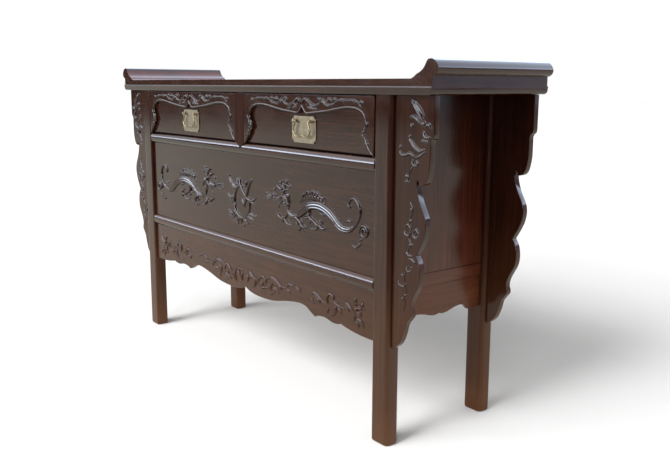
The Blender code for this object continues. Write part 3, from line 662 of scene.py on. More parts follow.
@dataclass
class Relief:
    """Carving in relief on one board: every stroke pressed into one height field.

    The ground is the board's front plane; parts below it are sunk into the board.
    """

    name: str
    body: str
    ground: float
    rise: float
    strokes: list[Stroke]
    step: float = 1.1 * MM
    sink: float = 0.7 * MM
    root: float = 1.6 * MM
    # Steps between the places at which a stroke's line is followed.
    stride: float = 1.2
    edge_power: float = 4.0
    # Reeds on a dragon's body are shallow, so that the upper slope of each catches the bright sky.
    reeds: int = 3
    reed_power: float = 8.0
    reed_depth: float = 1.0 * MM
    reed_reach: float = 0.98
    vein_depth: float = 0.42
    vein_width: float = 0.2
    # Round each stroke the ground keeps a soft hem of old wax and dust, which runs on under the ground; the
    # hem is also painted darker, as shade round the stroke.
    hem: float = 2.0 * MM
    hem_rise: float = 0.05 * MM
    hem_reach: float = 2.2
    hem_margin: float = 2.5
    # Dirt and painted shade lie where a place is this share of the rise under what is round it, or this low.
    groove_share: float = 0.07
    foot_share: float = 0.35
    darkest_dirt_and_shade: float = 0.85

    def build(self, finish: bpy.types.Material) -> None:
        """Make the carving as a closed mesh that rides its body.

        Args:
            finish: the material.
        """
        heights, hem_dust_and_shade, across, up = self._heights()
        keep = heights > -self.sink
        cells = keep[:-1, :-1] | keep[1:, :-1] | keep[:-1, 1:] | keep[1:, 1:]
        rows, columns = np.nonzero(cells)
        wide = heights.shape[1]
        corner = rows * wide + columns
        quads = np.column_stack([corner, corner + 1, corner + wide + 1, corner + wide])
        used, packed = np.unique(quads, return_inverse=True)
        packed = packed.reshape(quads.shape)
        count = len(used)
        level = heights.ravel()[used]
        front = np.column_stack([across[used % wide], self.ground - level, up[used // wide]])
        back = front.copy()
        back[:, 1] = self.ground + self.root
        edges = np.vstack([packed[:, [i, (i + 1) % 4]] for i in range(4)])
        _, where, times = np.unique(np.sort(edges, axis=1), axis=0, return_inverse=True, return_counts=True)
        rim = edges[times[where.ravel()] == 1]
        walls = np.column_stack([rim[:, 1], rim[:, 0], rim[:, 0] + count, rim[:, 1] + count])
        faces = np.vstack([packed, packed[:, ::-1] + count, walls])
        mesh = bpy.data.meshes.new(self.name)
        mesh.from_pydata(np.vstack([front, back]).tolist(), [], faces.tolist())
        # The carving's dirt and painted shade go to the shader as a mesh attribute.
        recess = mesh.attributes.new("recess", "FLOAT", "POINT")
        dirt_and_shade_share = self._dirt_and_shade(heights, hem_dust_and_shade).ravel()[used]
        recess.data.foreach_set("value", np.concatenate([dirt_and_shade_share, dirt_and_shade_share]).astype(np.float32))
        mesh.polygons.foreach_set("use_smooth", [True] * len(mesh.polygons))
        mesh.materials.append(finish)
        made = bpy.data.objects.new(self.name, mesh)
        bpy.context.scene.collection.objects.link(made)
        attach(made, self.body)
        LOG.info("%s: %d faces", self.name, len(mesh.polygons))

    def _dirt_and_shade(self, heights: np.ndarray, hem_dust_and_shade: np.ndarray) -> np.ndarray:
        """Darken grooves, the strokes' feet and the hems with dirt and painted shade.

        Args:
            heights: the height field.
            hem_dust_and_shade: the dust and painted shade in the hems.

        Returns:
            Dirt and painted shade from 0 to 1 at each place of the grid.
        """
        top = self.rise * max(stroke.rise for stroke in self.strokes)
        window = 5
        ringed = np.pad(heights, window // 2, mode="edge")
        tall, broad = heights.shape
        parts = [ringed[i : i + tall, j : j + broad] for i in range(window) for j in range(window)]
        around = sum(parts) / len(parts)
        under = (around - heights) / (self.groove_share * top)
        low = 1.0 - heights / (self.foot_share * top)
        groove = np.maximum(under, low)
        return self.darkest_dirt_and_shade * np.where(heights > self.hem_rise, np.clip(groove, 0.0, 1.0), hem_dust_and_shade)

    def _heights(self) -> tuple[np.ndarray, np.ndarray, np.ndarray, np.ndarray]:
        """Press every stroke into the grid.

        Returns:
            The height field, the dust and painted shade in its hems, and the grid's places along X and Z.
        """
        line = np.vstack([np.asarray(stroke.line) for stroke in self.strokes]) * MM
        widest = max(stroke.width for stroke in self.strokes) * MM
        margin = widest + self.hem_margin * self.hem + 4 * self.step
        low = line.min(0) - margin
        high = line.max(0) + margin
        across = np.arange(low[0], high[0], self.step)
        up = np.arange(low[1], high[1], self.step)
        heights = np.full((len(up), len(across)), -self.sink)
        hem_dust_and_shade = np.zeros(heights.shape)
        for stroke in self.strokes:
            self._press(stroke, heights, hem_dust_and_shade, across, up)
        return heights, hem_dust_and_shade, across, up

    def _press(self, stroke: Stroke, heights: np.ndarray, hem_dust_and_shade: np.ndarray, across: np.ndarray,
               up: np.ndarray) -> None:
        """Raise the grid where one stroke stands.

        Args:
            stroke: the stroke.
            heights: the height field, changed in place.
            hem_dust_and_shade: dust and painted shade on the ground round the stroke, changed in place.
            across: places along X.
            up: places along Z.
        """
        path = smooth_path(np.asarray(stroke.line, float) * MM, self.stride * self.step)
        width = stroke.width * MM
        rise = stroke.rise * self.rise
        reach = width * 0.5 + self.hem_margin * self.hem + 2 * self.step
        first = np.searchsorted(across, path[:, 0].min() - reach)
        last = np.searchsorted(across, path[:, 0].max() + reach)
        under = np.searchsorted(up, path[:, 1].min() - reach)
        over = np.searchsorted(up, path[:, 1].max() + reach)
        grid_x, grid_z = np.meshgrid(across[first:last], up[under:over])
        nearest = np.full(grid_x.shape, np.inf)
        side = np.zeros(grid_x.shape)
        share = np.zeros(grid_x.shape)
        ways = np.gradient(path, axis=0)
        ways /= np.linalg.norm(ways, axis=1)[:, None]
        for index, (spot, way) in enumerate(zip(path, ways)):
            off_x = grid_x - spot[0]
            off_z = grid_z - spot[1]
            gap = off_x**2 + off_z**2
            closer = gap < nearest
            nearest[closer] = gap[closer]
            side[closer] = (off_z * way[0] - off_x * way[1])[closer]
            share[closer] = index / (len(path) - 1)
        relative = np.interp(share, np.linspace(0.0, 1.0, len(stroke.shares)), stroke.shares)
        half = 0.5 * width * relative
        spread = np.sqrt(nearest) / half
        power = self.reed_power if stroke.section is Section.RIBBED else self.edge_power
        raised = rise * np.sqrt(relative) * (1.0 - spread**power)
        lean = np.clip(side / half, -1.0, 1.0)
        if stroke.section is Section.VEINED:
            raised -= rise * self.vein_depth * np.exp(-((lean / self.vein_width) ** 2)) * (spread < 1.0)
        elif stroke.section is Section.RIBBED:
            reed = np.abs((0.5 * self.reeds * (lean + 1.0)) % 1.0 - 0.5) * 2.0
            raised -= self.reed_depth * relative * reed * (np.abs(lean) < self.reed_reach)
        beyond = (np.sqrt(nearest) - half) / self.hem
        ground = np.where(beyond < self.hem_reach, self.hem_rise * (1.0 - beyond), -self.sink)
        window = heights[under:over, first:last]
        np.maximum(window, np.where(beyond > 0.0, ground, raised), out=window)
        hem_dust_and_shade_part = hem_dust_and_shade[under:over, first:last]
        np.maximum(hem_dust_and_shade_part, np.clip(1.0 - beyond, 0.0, 1.0), out=hem_dust_and_shade_part)


def front_outline(node: bpy.types.Object, plane: float, slack: float = 0.01 * MM) -> list[Point]:
    """Find the outline of a board's front face in its solid.

    Args:
        node: the board.
        plane: Y of the front face.
        slack: distance within which corners and faces count as one.

    Returns:
        Corners of the outline in order, as x and z.
    """
    shape = bmesh.new()
    shape.from_mesh(node.data)
    bmesh.ops.remove_doubles(shape, verts=shape.verts, dist=slack)
    flat = {face for face in shape.faces if all(abs(vert.co.y - plane) < slack for vert in face.verts)}
    reached: dict[bmesh.types.BMVert, list[bmesh.types.BMVert]] = {}
    for edge in shape.edges:
        if sum(face in flat for face in edge.link_faces) == 1:
            start, end = edge.verts
            reached.setdefault(start, []).append(end)
            reached.setdefault(end, []).append(start)
    first = min(reached, key=lambda vert: (vert.co.x, vert.co.z))
    loop = [first]
    came, here = first, reached[first][0]
    while here is not first:
        loop.append(here)
        came, here = here, next(vert for vert in reached[here] if vert is not came)
    outline = [(vert.co.x, vert.co.z) for vert in loop]
    shape.free()
    return outline


@dataclass
class FrontPanelCarving:
    """Two facing dragons and the medallion between them on the compartment panel."""

    rise: float = 6.0 * MM
    step: float = 0.9 * MM
    medallion_rise: float = 4.6 * MM
    # In millimetres, as the strokes are.
    medallion_middle: Point = (-4, 513)

    def build(self, finishes: Finishes) -> None:
        """Carve the panel.

        Args:
            finishes: the finishes.
        """
        low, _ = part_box("front_panel")
        wood = finishes.wood[Coat.CARVED, Grain.LENGTH]
        dragon = self.dragon()
        other = [stroke.mirrored() for stroke in dragon]
        Relief("dragon_right", CARCASS, low.y, self.rise, dragon, self.step).build(wood)
        Relief("dragon_left", CARCASS, low.y, self.rise, other, self.step).build(wood)
        Relief("medallion", CARCASS, low.y, self.medallion_rise, self.medallion()).build(wood)

    def dragon(self) -> list[Stroke]:
        """Draw the right-hand dragon, head towards the middle.

        Returns:
            Its strokes.
        """
        spine = (
            (213, 552), (220, 536), (223, 520), (234, 509), (250, 506), (270, 510),
            (287, 519), (303, 531), (322, 541), (345, 545.5), (367, 545.5), (390, 540.5),
            (410, 532), (427.5, 520.5), (442.5, 509), (457.5, 503), (472, 501.5),
            (487, 504), (503, 513),
        )
        girth = (0.62, 0.64, 0.66, 0.72, 0.80, 0.95, 1.0, 1.0, 1.0, 1.0, 1.0, 0.96, 0.75, 0.30)
        tail = (
            (490, 505), (503, 512), (516, 527), (523.5, 546), (522, 562), (513, 574),
            (500, 580), (488, 576), (481, 566), (485, 558),
        )
        body = [
            Stroke(spine, 23, 1.0, girth, Section.RIBBED),
            Stroke(tail, 7, 0.8, (0.7, 0.8, 0.7, 0.8, 1.0, 1.0, 0.8, 0.7, 0.9)),
            Stroke(((280, 545), (300, 558), (325, 564), (350, 564), (375, 557), (390, 548)),
                   12, 0.35, (0.3, 1.0, 1.0, 1.0, 0.3)),
        ]
        crest = (
            (284, 560), (296, 569), (305, 571), (314, 577), (325, 576), (338, 581),
            (348, 577), (358, 578), (366, 571), (375, 568), (382, 568), (388, 558),
        )
        fin = [Stroke(crest, 5, 0.7, (0.5, 0.9, 0.8, 1.0, 0.8, 1.0, 0.8, 1.0, 0.8, 0.9, 1.0, 0.4))]
        rays = 8
        for index in range(rays):
            share = index / (rays - 1)
            foot = (292 + 84 * share, 551 + 7 * math.sin(math.pi * share))
            tip = (298 + 84 * share, 567 + 11 * math.sin(math.pi * (0.1 + 0.75 * share)))
            fin.append(leaf(foot, tip, 6, 0.6, 0.1, Section.ROUND))
        head = [
            Stroke(((226, 556), (212, 551), (192, 545), (168, 543)), 20, 0.7, (0.8, 1.0, 0.8, 0.5)),
            Stroke(((182, 543), (194, 546), (203, 554), (212, 551), (219, 547)),
                   6.5, 1.3, (0.6, 0.9, 1.0, 0.9, 0.6)),
            Stroke(((214, 558), (222, 552), (228, 545), (233, 538)), 7, 1.3, (0.7, 1.0, 1.0, 0.6)),
            Stroke(((182, 533), (190, 534), (198, 537)), 6, 0.9, SWELL),
            bud((211, 535), 5.0, 1.05),
            bud((208, 560), 3.6, 1.3),
            bud((163, 545), 5.0, 0.95),
            Stroke(((132, 552), (141, 551), (150, 548)), 6, 0.85, (0.6, 1.0, 0.7)),
            Stroke(((150, 556), (160, 556), (168, 551)), 4.5, 0.6, POINTED),
            Stroke(((175, 579), (184, 577), (191, 573), (199, 572)), 9, 1.1, (0.6, 1.0, 0.9, 0.5)),
            bud((195, 590), 5.0, 1.0),
            Stroke(((212, 596), (220, 597), (227, 596)), 5.5, 0.9, SWELL),
            Stroke(((216, 586), (226, 585), (237, 580)), 6.5, 1.0, (0.6, 1.0, 0.5)),
            Stroke(((200, 588), (206, 578), (208, 568)), 5, 0.6, (0.5, 1.0, 0.8)),
            Stroke(((220, 592), (212, 582), (209, 572)), 5, 0.55, (0.5, 1.0, 0.8)),
            Stroke(((199, 565), (205, 566), (211, 568)), 4.5, 0.9, SWELL),
            Stroke(((207, 571), (216, 572), (224, 571)), 4.5, 0.7, POINTED),
            Stroke(((187, 566), (194, 566), (199, 564)), 4.5, 0.7, POINTED),
            bud((161, 568), 4.4, 0.6),
            Stroke(((152, 546), (138, 544), (124, 546), (110, 543)), 4, 0.5),
            Stroke(((146, 540), (132, 538), (118, 540)), 3.6, 0.4),
            Stroke(((134, 552), (122, 554), (111, 550)), 3.8, 0.45),
            leaf((206, 530), (216, 526), 6, 0.6, 0.2),
            leaf((186, 526), (168, 522), 5, 0.45, 0.2),
        ]
        legs = [
            Stroke(((224, 516), (219, 504), (211, 497), (199, 493)), 8, 0.7, (1.0, 0.9, 0.9, 0.7)),
            Stroke(((175, 502), (184, 499), (192, 494), (201, 492)), 8, 1.1, (0.5, 1.0, 1.0, 0.5)),
            bud((205, 496), 3.6, 0.9),
            Stroke(((211, 492), (219, 487), (223, 483), (232, 480), (243, 479)),
                   9, 1.0, (0.6, 1.0, 1.0, 0.6, 0.3)),
            leaf((203, 490), (194, 481), 5, 0.6, 0.2),
            Stroke(((262, 503), (277, 498), (285, 492), (291, 485), (304, 481)),
                   8, 1.1, (0.6, 0.9, 0.9, 1.0, 0.5)),
            bud((270, 488), 4.0, 0.9),
            Stroke(((288, 486), (284, 477), (275, 471)), 5.5, 0.8, (0.8, 0.8, 1.0)),
            leaf((292, 482), (302, 471), 5.5, 0.7, -0.2),
            Stroke(((298, 510), (308, 509), (318, 510)), 6, 0.9, (0.5, 1.0, 0.6)),
            Stroke(((320, 532), (321, 520), (325, 511), (334, 507), (345, 503), (357, 496), (367, 496),
                    (376, 490), (388, 491)), 8, 1.0, (0.9, 0.9, 1.0, 0.8, 0.9, 0.8, 0.8, 1.0, 0.5)),
            Stroke(((364, 510), (372, 507), (376, 501)), 6, 0.9, SWELL),
            Stroke(((358, 494), (352, 486), (338, 483), (328, 484)), 7, 0.6, (0.7, 1.0, 0.9, 0.4)),
            leaf((330, 505), (322, 493), 6, 0.55, -0.2),
            Stroke(((364, 530), (374, 528), (382, 523)), 6, 0.85, POINTED),
        ]
        curl_middle = (539, 505)
        tufts = [
            curl(curl_middle, 16.5, 200, -540, 6.5, 0.85),
            Stroke(((516, 482), (524, 483), (532, 486)), 5, 0.8, (0.5, 1.0, 0.6)),
            Stroke(((496, 469), (504, 465), (511, 464), (518, 467)), 5.5, 0.85, (0.5, 1.0, 1.0, 0.5)),
            leaf((517, 474), (524, 468), 5, 0.5, 0.2),
            Stroke(((474, 522), (482, 524.5), (490, 523)), 7.5, 0.9, (0.5, 1.0, 0.6)),
        ]
        return body + fin + head + legs + tufts

    def medallion(self) -> list[Stroke]:
        """Draw the medallion: a wound ring with leaves round it.

        Returns:
            Its strokes.
        """
        x, z = self.medallion_middle
        # The ring is a little taller than wide, and open at its upper right.
        middle, half_width, half_height = x - 4, 42, 47
        start, sweep, step = 75, 300, 30
        turns = [math.radians(angle) for angle in range(start, start + sweep + 1, step)]
        ring = tuple(
            (middle + half_width * math.cos(turn), z + half_height * math.sin(turn)) for turn in turns
        )
        strokes = [
            Stroke(ring, 9, 1.0, (0.4, 0.9, 1.0, 1.0, 0.9, 0.4)),
            Stroke(((x - 14, z + 66), (x - 6, z + 44), (x + 10, z + 26), (x + 24, z + 13),
                    (x + 40, z + 9), (x + 58, z + 11), (x + 74, z + 20)),
                   9.5, 1.15, (0.5, 1.0, 0.9, 0.8, 0.7, 0.8, 0.3)),
            Stroke(((x + 50, z + 67), (x + 34, z + 50), (x + 23, z + 26), (x + 16, z + 4),
                    (x + 2, z - 14)), 9, 1.1, (0.6, 1.0, 0.9, 0.8, 0.3)),
        ]
        leaves = (
            ((-6, 8), (12, -16), 10), ((-34, 38), (-66, 62), 12),
            ((-36, 46), (-78, 70), 8), ((-18, 46), (-26, 68), 10),
            ((20, 44), (26, 64), 8), ((-44, 14), (-86, 16), 11),
            ((-46, 4), (-78, -2), 10), ((36, 4), (62, -4), 8),
            ((18, -40), (66, -36), 10), ((14, -44), (58, -50), 10),
            ((60, -36), (76, -36), 8), ((-36, -30), (-84, -32), 10),
            ((-32, -36), (-78, -47), 10), ((-10, -44), (-12, -66), 10),
            ((-16, -48), (-50, -60), 9), ((0, -50), (26, -62), 9),
        )
        for start, end, width in leaves:
            strokes.append(leaf((x + start[0], z + start[1]), (x + end[0], z + end[1]), width, 0.85))
        knobs = ((-73, 71), (-46, -59), (-28, -66), (4, -68), (24, -61), (47, 66))
        for right, up in knobs:
            strokes.append(bud((x + right, z + up), 3.6, 0.8))
        return strokes

@dataclass
class EdgeBead:
    """A fine half-round bead that follows a board's cut edge."""

    name: str
    body: str
    edge: list[Point]
    plane: float
    radius: float
    inset: float
    roundness: int = 3

    def build(self, finish: bpy.types.Material) -> None:
        """Sweep the bead along the edge, a little inside it, so that it rides its body.

        Args:
            finish: the material.
        """
        line = np.asarray(self.edge, float)
        way = np.gradient(line, axis=0)
        way /= np.linalg.norm(way, axis=1)[:, None]
        inner = line + self.inset * np.column_stack([-way[:, 1], way[:, 0]])
        curve = bpy.data.curves.new(self.name, "CURVE")
        curve.dimensions = "3D"
        curve.bevel_depth = self.radius
        curve.bevel_resolution = self.roundness
        curve.use_fill_caps = True
        spline = curve.splines.new("POLY")
        spline.points.add(len(inner) - 1)
        for point, (x, z) in zip(spline.points, inner):
            point.co = (x, self.plane, z, 1.0)
        spline.use_smooth = True
        curve.materials.append(finish)
        made = bpy.data.objects.new(self.name, curve)
        bpy.context.scene.collection.objects.link(made)
        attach(made, self.body)
        LOG.info("%s: %d points", self.name, len(inner))


@dataclass
class DrawerCarving:
    """Beaded arch edge and scrolling vine on one drawer."""

    side: str
    bead_radius: float = 2.1 * MM
    bead_inset: float = 2.2 * MM
    vine_rise: float = 3.6 * MM
    vine_step: float = 0.8 * MM
    # Corners this close to the board's border aren't part of the arch.
    border: float = 3 * MM

    def build(self, finishes: Finishes, nodes: dict[str, bpy.types.Object]) -> None:
        """Carve the arch.

        Args:
            finishes: the finishes.
            nodes: the solids by name.
        """
        body = f"drawer_{self.side}"
        name = f"drawer_arch_{self.side}"
        low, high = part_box(name)
        wood = finishes.wood[Coat.CARVED, Grain.LENGTH]
        half = self.vine()
        middle = (low.x + high.x) / 2 / MM
        strokes = [stroke.shifted(middle) for stroke in half + [stroke.mirrored() for stroke in half]]
        Relief(f"arch_vine_{self.side}", body, low.y, self.vine_rise, strokes, self.vine_step).build(wood)
        left, right = low.x + self.border, high.x - self.border
        under, over = low.z + self.border, high.z - self.border
        outline = front_outline(nodes[name], low.y)
        edge = [(x, z) for x, z in outline if left < x < right and under < z < over]
        EdgeBead(f"arch_bead_{self.side}", body, edge, low.y, self.bead_radius, self.bead_inset).build(wood)

    def vine(self) -> list[Stroke]:
        """Draw the right half of the vine, measured from the drawer's middle.

        Returns:
            Its strokes.
        """
        return [
            Stroke(((4, 799), (6, 807), (15, 812), (26, 808), (29, 800), (21, 796)),
                   5.5, 1.2, (0.5, 1.0, 1.0, 0.9, 0.7)),
            leaf((26, 808), (66, 795), 7.5, 1.1, -0.1),
            leaf((38, 803), (64, 787), 6, 1.0, -0.2),
            leaf((24, 790), (40, 786), 6, 1.0, 0.2),
            Stroke(((60, 796), (74, 800), (80, 809), (72, 814), (66, 808)), 5, 1.0, (0.7, 1.0, 0.9, 0.8)),
            leaf((78, 806), (95, 799), 6, 1.0, 0.2),
            leaf((88, 812), (122, 797), 7, 1.1, -0.15),
            leaf((104, 808), (126, 807), 5.5, 1.0, 0.25),
            Stroke(((118, 799), (133, 801), (141, 809), (134, 814), (128, 810)),
                   4.5, 1.0, (0.7, 1.0, 0.9, 0.8)),
            Stroke(((140, 806), (156, 811), (180, 811), (205, 811), (222, 806), (231, 797)),
                   4, 0.9, (0.7, 1.0, 0.8, 0.6, 0.4)),
            leaf((158, 810), (172, 803), 5, 0.9, 0.25),
            leaf((196, 811), (211, 803), 5, 0.9, 0.25),
            leaf((226, 803), (240, 806), 5, 0.9, 0.25),
            bud((245, 741), 3.2, 1.2),
            bud((243.5, 731), 3.2, 1.2),
            leaf((251, 748), (259, 762), 6, 1.0, 0.2),
            leaf((251, 723), (262, 712), 6, 1.0, -0.2),
        ]

@dataclass
class ApronCarving:
    """Leafy vine along the cusped apron, the same on both halves."""

    rise: float = 4.4 * MM

    def build(self, finishes: Finishes) -> None:
        """Carve the apron.

        Args:
            finishes: the finishes.
        """
        low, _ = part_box("front_apron")
        half = self.vine()
        strokes = half + [stroke.mirrored() for stroke in half]
        wood = finishes.wood[Coat.CARVED, Grain.LENGTH]
        Relief("apron_vine", CARCASS, low.y, self.rise, strokes).build(wood)

    def vine(self) -> list[Stroke]:
        """Draw the right half of the vine.

        Returns:
            Its strokes.
        """
        return [
            long_leaf(((10, 310), (30, 311), (46, 302), (60, 296), (72, 285)), 10, 1.1),
            leaf((44, 301), (24, 290), 9, 1.0, -0.2),
            leaf((55, 296), (46, 268), 9, 1.0, 0.2),
            leaf((12, 300), (13, 276), 9, 1.0, 0.2),
            Stroke(((72, 292), (82, 305), (99, 312), (113, 303), (112, 292)), 7, 1.0),
            long_leaf(((70, 276), (85, 276), (104, 281), (126, 281)), 8, 1.0),
            leaf((98, 296), (88, 286), 8, 0.8, 0.2),
            leaf((80, 268), (108, 262), 8, 0.8, 0.2),
            long_leaf(((122, 308), (138, 317), (156, 317), (172, 311), (190, 301), (210, 298)), 11, 1.1),
            leaf((172, 305), (190, 289), 8, 0.9, 0.15),
            leaf((148, 288), (180, 279), 9, 0.9, 0.2),
            leaf((146, 300), (136, 276), 8, 0.9, -0.2),
            leaf((155, 276), (140, 264), 7, 0.7, -0.2),
            leaf((214, 306), (252, 310), 9, 1.0, 0.2),
            leaf((254, 315), (282, 302), 9, 1.0, 0.12),
            leaf((212, 296), (236, 288), 8, 0.8, 0.2),
            long_leaf(((326, 308), (340, 316), (356, 314), (372, 304), (388, 297)), 10, 1.1),
            leaf((352, 306), (366, 291), 8, 0.9, 0.15),
            leaf((330, 300), (344, 286), 8, 0.8, -0.2),
            Stroke(((398, 300), (396, 316), (408, 326), (422, 322), (421, 311), (411, 310)), 7, 1.1),
            long_leaf(((418, 316), (432, 308), (446, 303), (464, 299)), 8, 1.0),
            leaf((432, 305), (418, 270), 8, 0.9, 0.15),
            leaf((440, 298), (455, 282), 7, 0.8, 0.2),
            leaf((402, 288), (384, 274), 8, 0.8, 0.2),
            long_leaf(((462, 318), (477, 318), (489, 311), (500, 302), (512, 292)), 9, 1.1),
            leaf((470, 308), (486, 296), 7, 0.8, 0.2),
            leaf((512, 316), (538, 334), 11, 1.1, -0.25),
            leaf((512, 318), (512, 340), 9, 1.0, 0.2),
            leaf((516, 312), (542, 316), 10, 1.0, 0.2),
            leaf((514, 304), (532, 296), 9, 1.0, 0.2),
            leaf((505, 298), (496, 276), 8, 0.9, 0.2),
            leaf((512, 288), (542, 270), 9, 1.0, 0.2),
            leaf((512, 281), (521, 264), 7, 0.8, 0.2),
            bud((513, 312), 5, 1.3),
        ]

@dataclass
class SpandrelCarving:
    """Hanging spray on the two front spandrels."""

    rise: float = 3.4 * MM
    step: float = 0.9 * MM

    def build(self, finishes: Finishes) -> None:
        """Carve both spandrels.

        Args:
            finishes: the finishes.
        """
        low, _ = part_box("spandrel_front_right")
        wood = finishes.wood[Coat.CARVED, Grain.HEIGHT]
        spray = self.spray()
        other = [stroke.mirrored() for stroke in spray]
        Relief("spandrel_spray_right", CARCASS, low.y, self.rise, spray, self.step).build(wood)
        Relief("spandrel_spray_left", CARCASS, low.y, self.rise, other, self.step).build(wood)

    def spray(self) -> list[Stroke]:
        """Draw the right-hand spray.

        Returns:
            Its strokes.
        """
        # A slim stem runs down between the leaves.
        stems = (
            ((698, 674), (687, 662), (681, 640)),
            ((690, 592), (697, 578), (690, 556), (686, 543)),
            ((691, 531), (687, 514), (694, 499), (685, 484), (692, 469)),
            ((687, 449), (677, 429), (676, 412), (681, 394), (675, 379), (679, 364), (674, 344)),
        )
        return [Stroke(stem, 4, 0.4, (0.8, 1.0, 0.8)) for stem in stems] + [
            long_leaf(((689, 813), (700, 802), (713, 786), (726, 768)), 10, 1.2),
            long_leaf(((699, 810), (713, 797), (727, 780)), 7, 1.0),
            long_leaf(((684, 779), (701, 778), (718, 764)), 7.5, 1.0),
            bud((727, 766), 4.5, 1.2),
            Stroke(((729, 759), (741, 764), (749, 756)), 6.5, 1.0),
            bud((690, 760), 4.2, 1.0),
            Stroke(((726, 748), (731, 738), (745, 737)), 6.5, 1.0),
            leaf((720, 728), (739, 727), 7, 1.0, 0.15),
            bud((684, 737), 3, 0.8),
            long_leaf(((683, 731), (692, 723), (704, 713), (716, 708), (730, 711)), 9, 1.1),
            bud((655, 713), 3.2, 0.8),
            Stroke(((653, 703), (660, 696), (672, 696), (686, 700), (697, 695)),
                   6, 1.0, (0.5, 1.0, 1.0, 1.0, 0.6)),
            Stroke(((702, 692), (715, 696), (728, 704)), 6, 1.0, SWELL),
            Stroke(((694, 685), (697, 677), (704, 674), (711, 679), (707, 685)),
                   5.5, 1.0, (0.7, 1.0, 1.0, 0.9, 0.6)),
            leaf((671, 651), (686, 648), 6.5, 1.0, 0.1, Section.ROUND),
            leaf((672, 638), (686, 637), 6, 1.0, 0.1, Section.ROUND),
            bud((693, 578), 3, 0.6),
            bud((692, 553), 3.4, 0.6),
            Stroke(((674, 537), (684, 543), (693, 537)), 6, 1.0, (0.6, 1.0, 0.8)),
            Stroke(((700, 529), (710, 535), (719, 528)), 6, 1.0, (0.7, 1.0, 0.8)),
            Stroke(((673, 526), (678, 520), (687, 519), (692, 527)), 5.5, 1.0, (0.6, 1.0, 1.0, 0.6)),
            Stroke(((700, 527), (703, 519), (712, 517), (718, 522)), 5, 0.8, (0.6, 1.0, 0.8, 0.5)),
            leaf((685, 497), (703, 499), 5.5, 1.0, 0.1, Section.ROUND),
            Stroke(((682, 480), (687, 475), (699, 474)), 5.5, 1.0, (0.8, 1.0, 0.6)),
            Stroke(((689, 468), (697, 468), (707, 462)), 6, 1.0, (0.6, 1.0, 0.9)),
            Stroke(((682, 445), (687, 438), (694, 439)), 5.5, 1.0, (0.7, 1.0, 0.7)),
            leaf((693, 446), (703, 449), 4.5, 0.9, 0.1, Section.ROUND),
            leaf((663, 427), (676, 423), 5.5, 1.0, 0.1, Section.ROUND),
            Stroke(((657, 410), (660, 403), (675, 401), (681, 408)), 5.5, 1.0, (0.7, 1.0, 1.0, 0.5)),
            leaf((675, 379), (684, 382), 5, 0.8, 0.1, Section.ROUND),
            bud((671, 372), 3.6, 0.9),
        ]

@dataclass(frozen=True)
class LampRow:
    """Even row of soft lamps in front: turns from straight ahead, height and blur in degrees."""

    name: str
    first: float
    last: float
    count: int
    height: float
    total: float
    blur: float
    floor_only: bool = True

    def ways(self) -> list[Vector]:
        """Spread the lamps along the row.

        Returns:
            The way from the piece to each lamp.
        """
        level = math.cos(math.radians(self.height))
        rise = math.sin(math.radians(self.height))
        turns = np.radians(np.linspace(self.first, self.last, self.count))
        return [Vector((level * math.sin(turn), -level * math.cos(turn), rise)) for turn in turns]


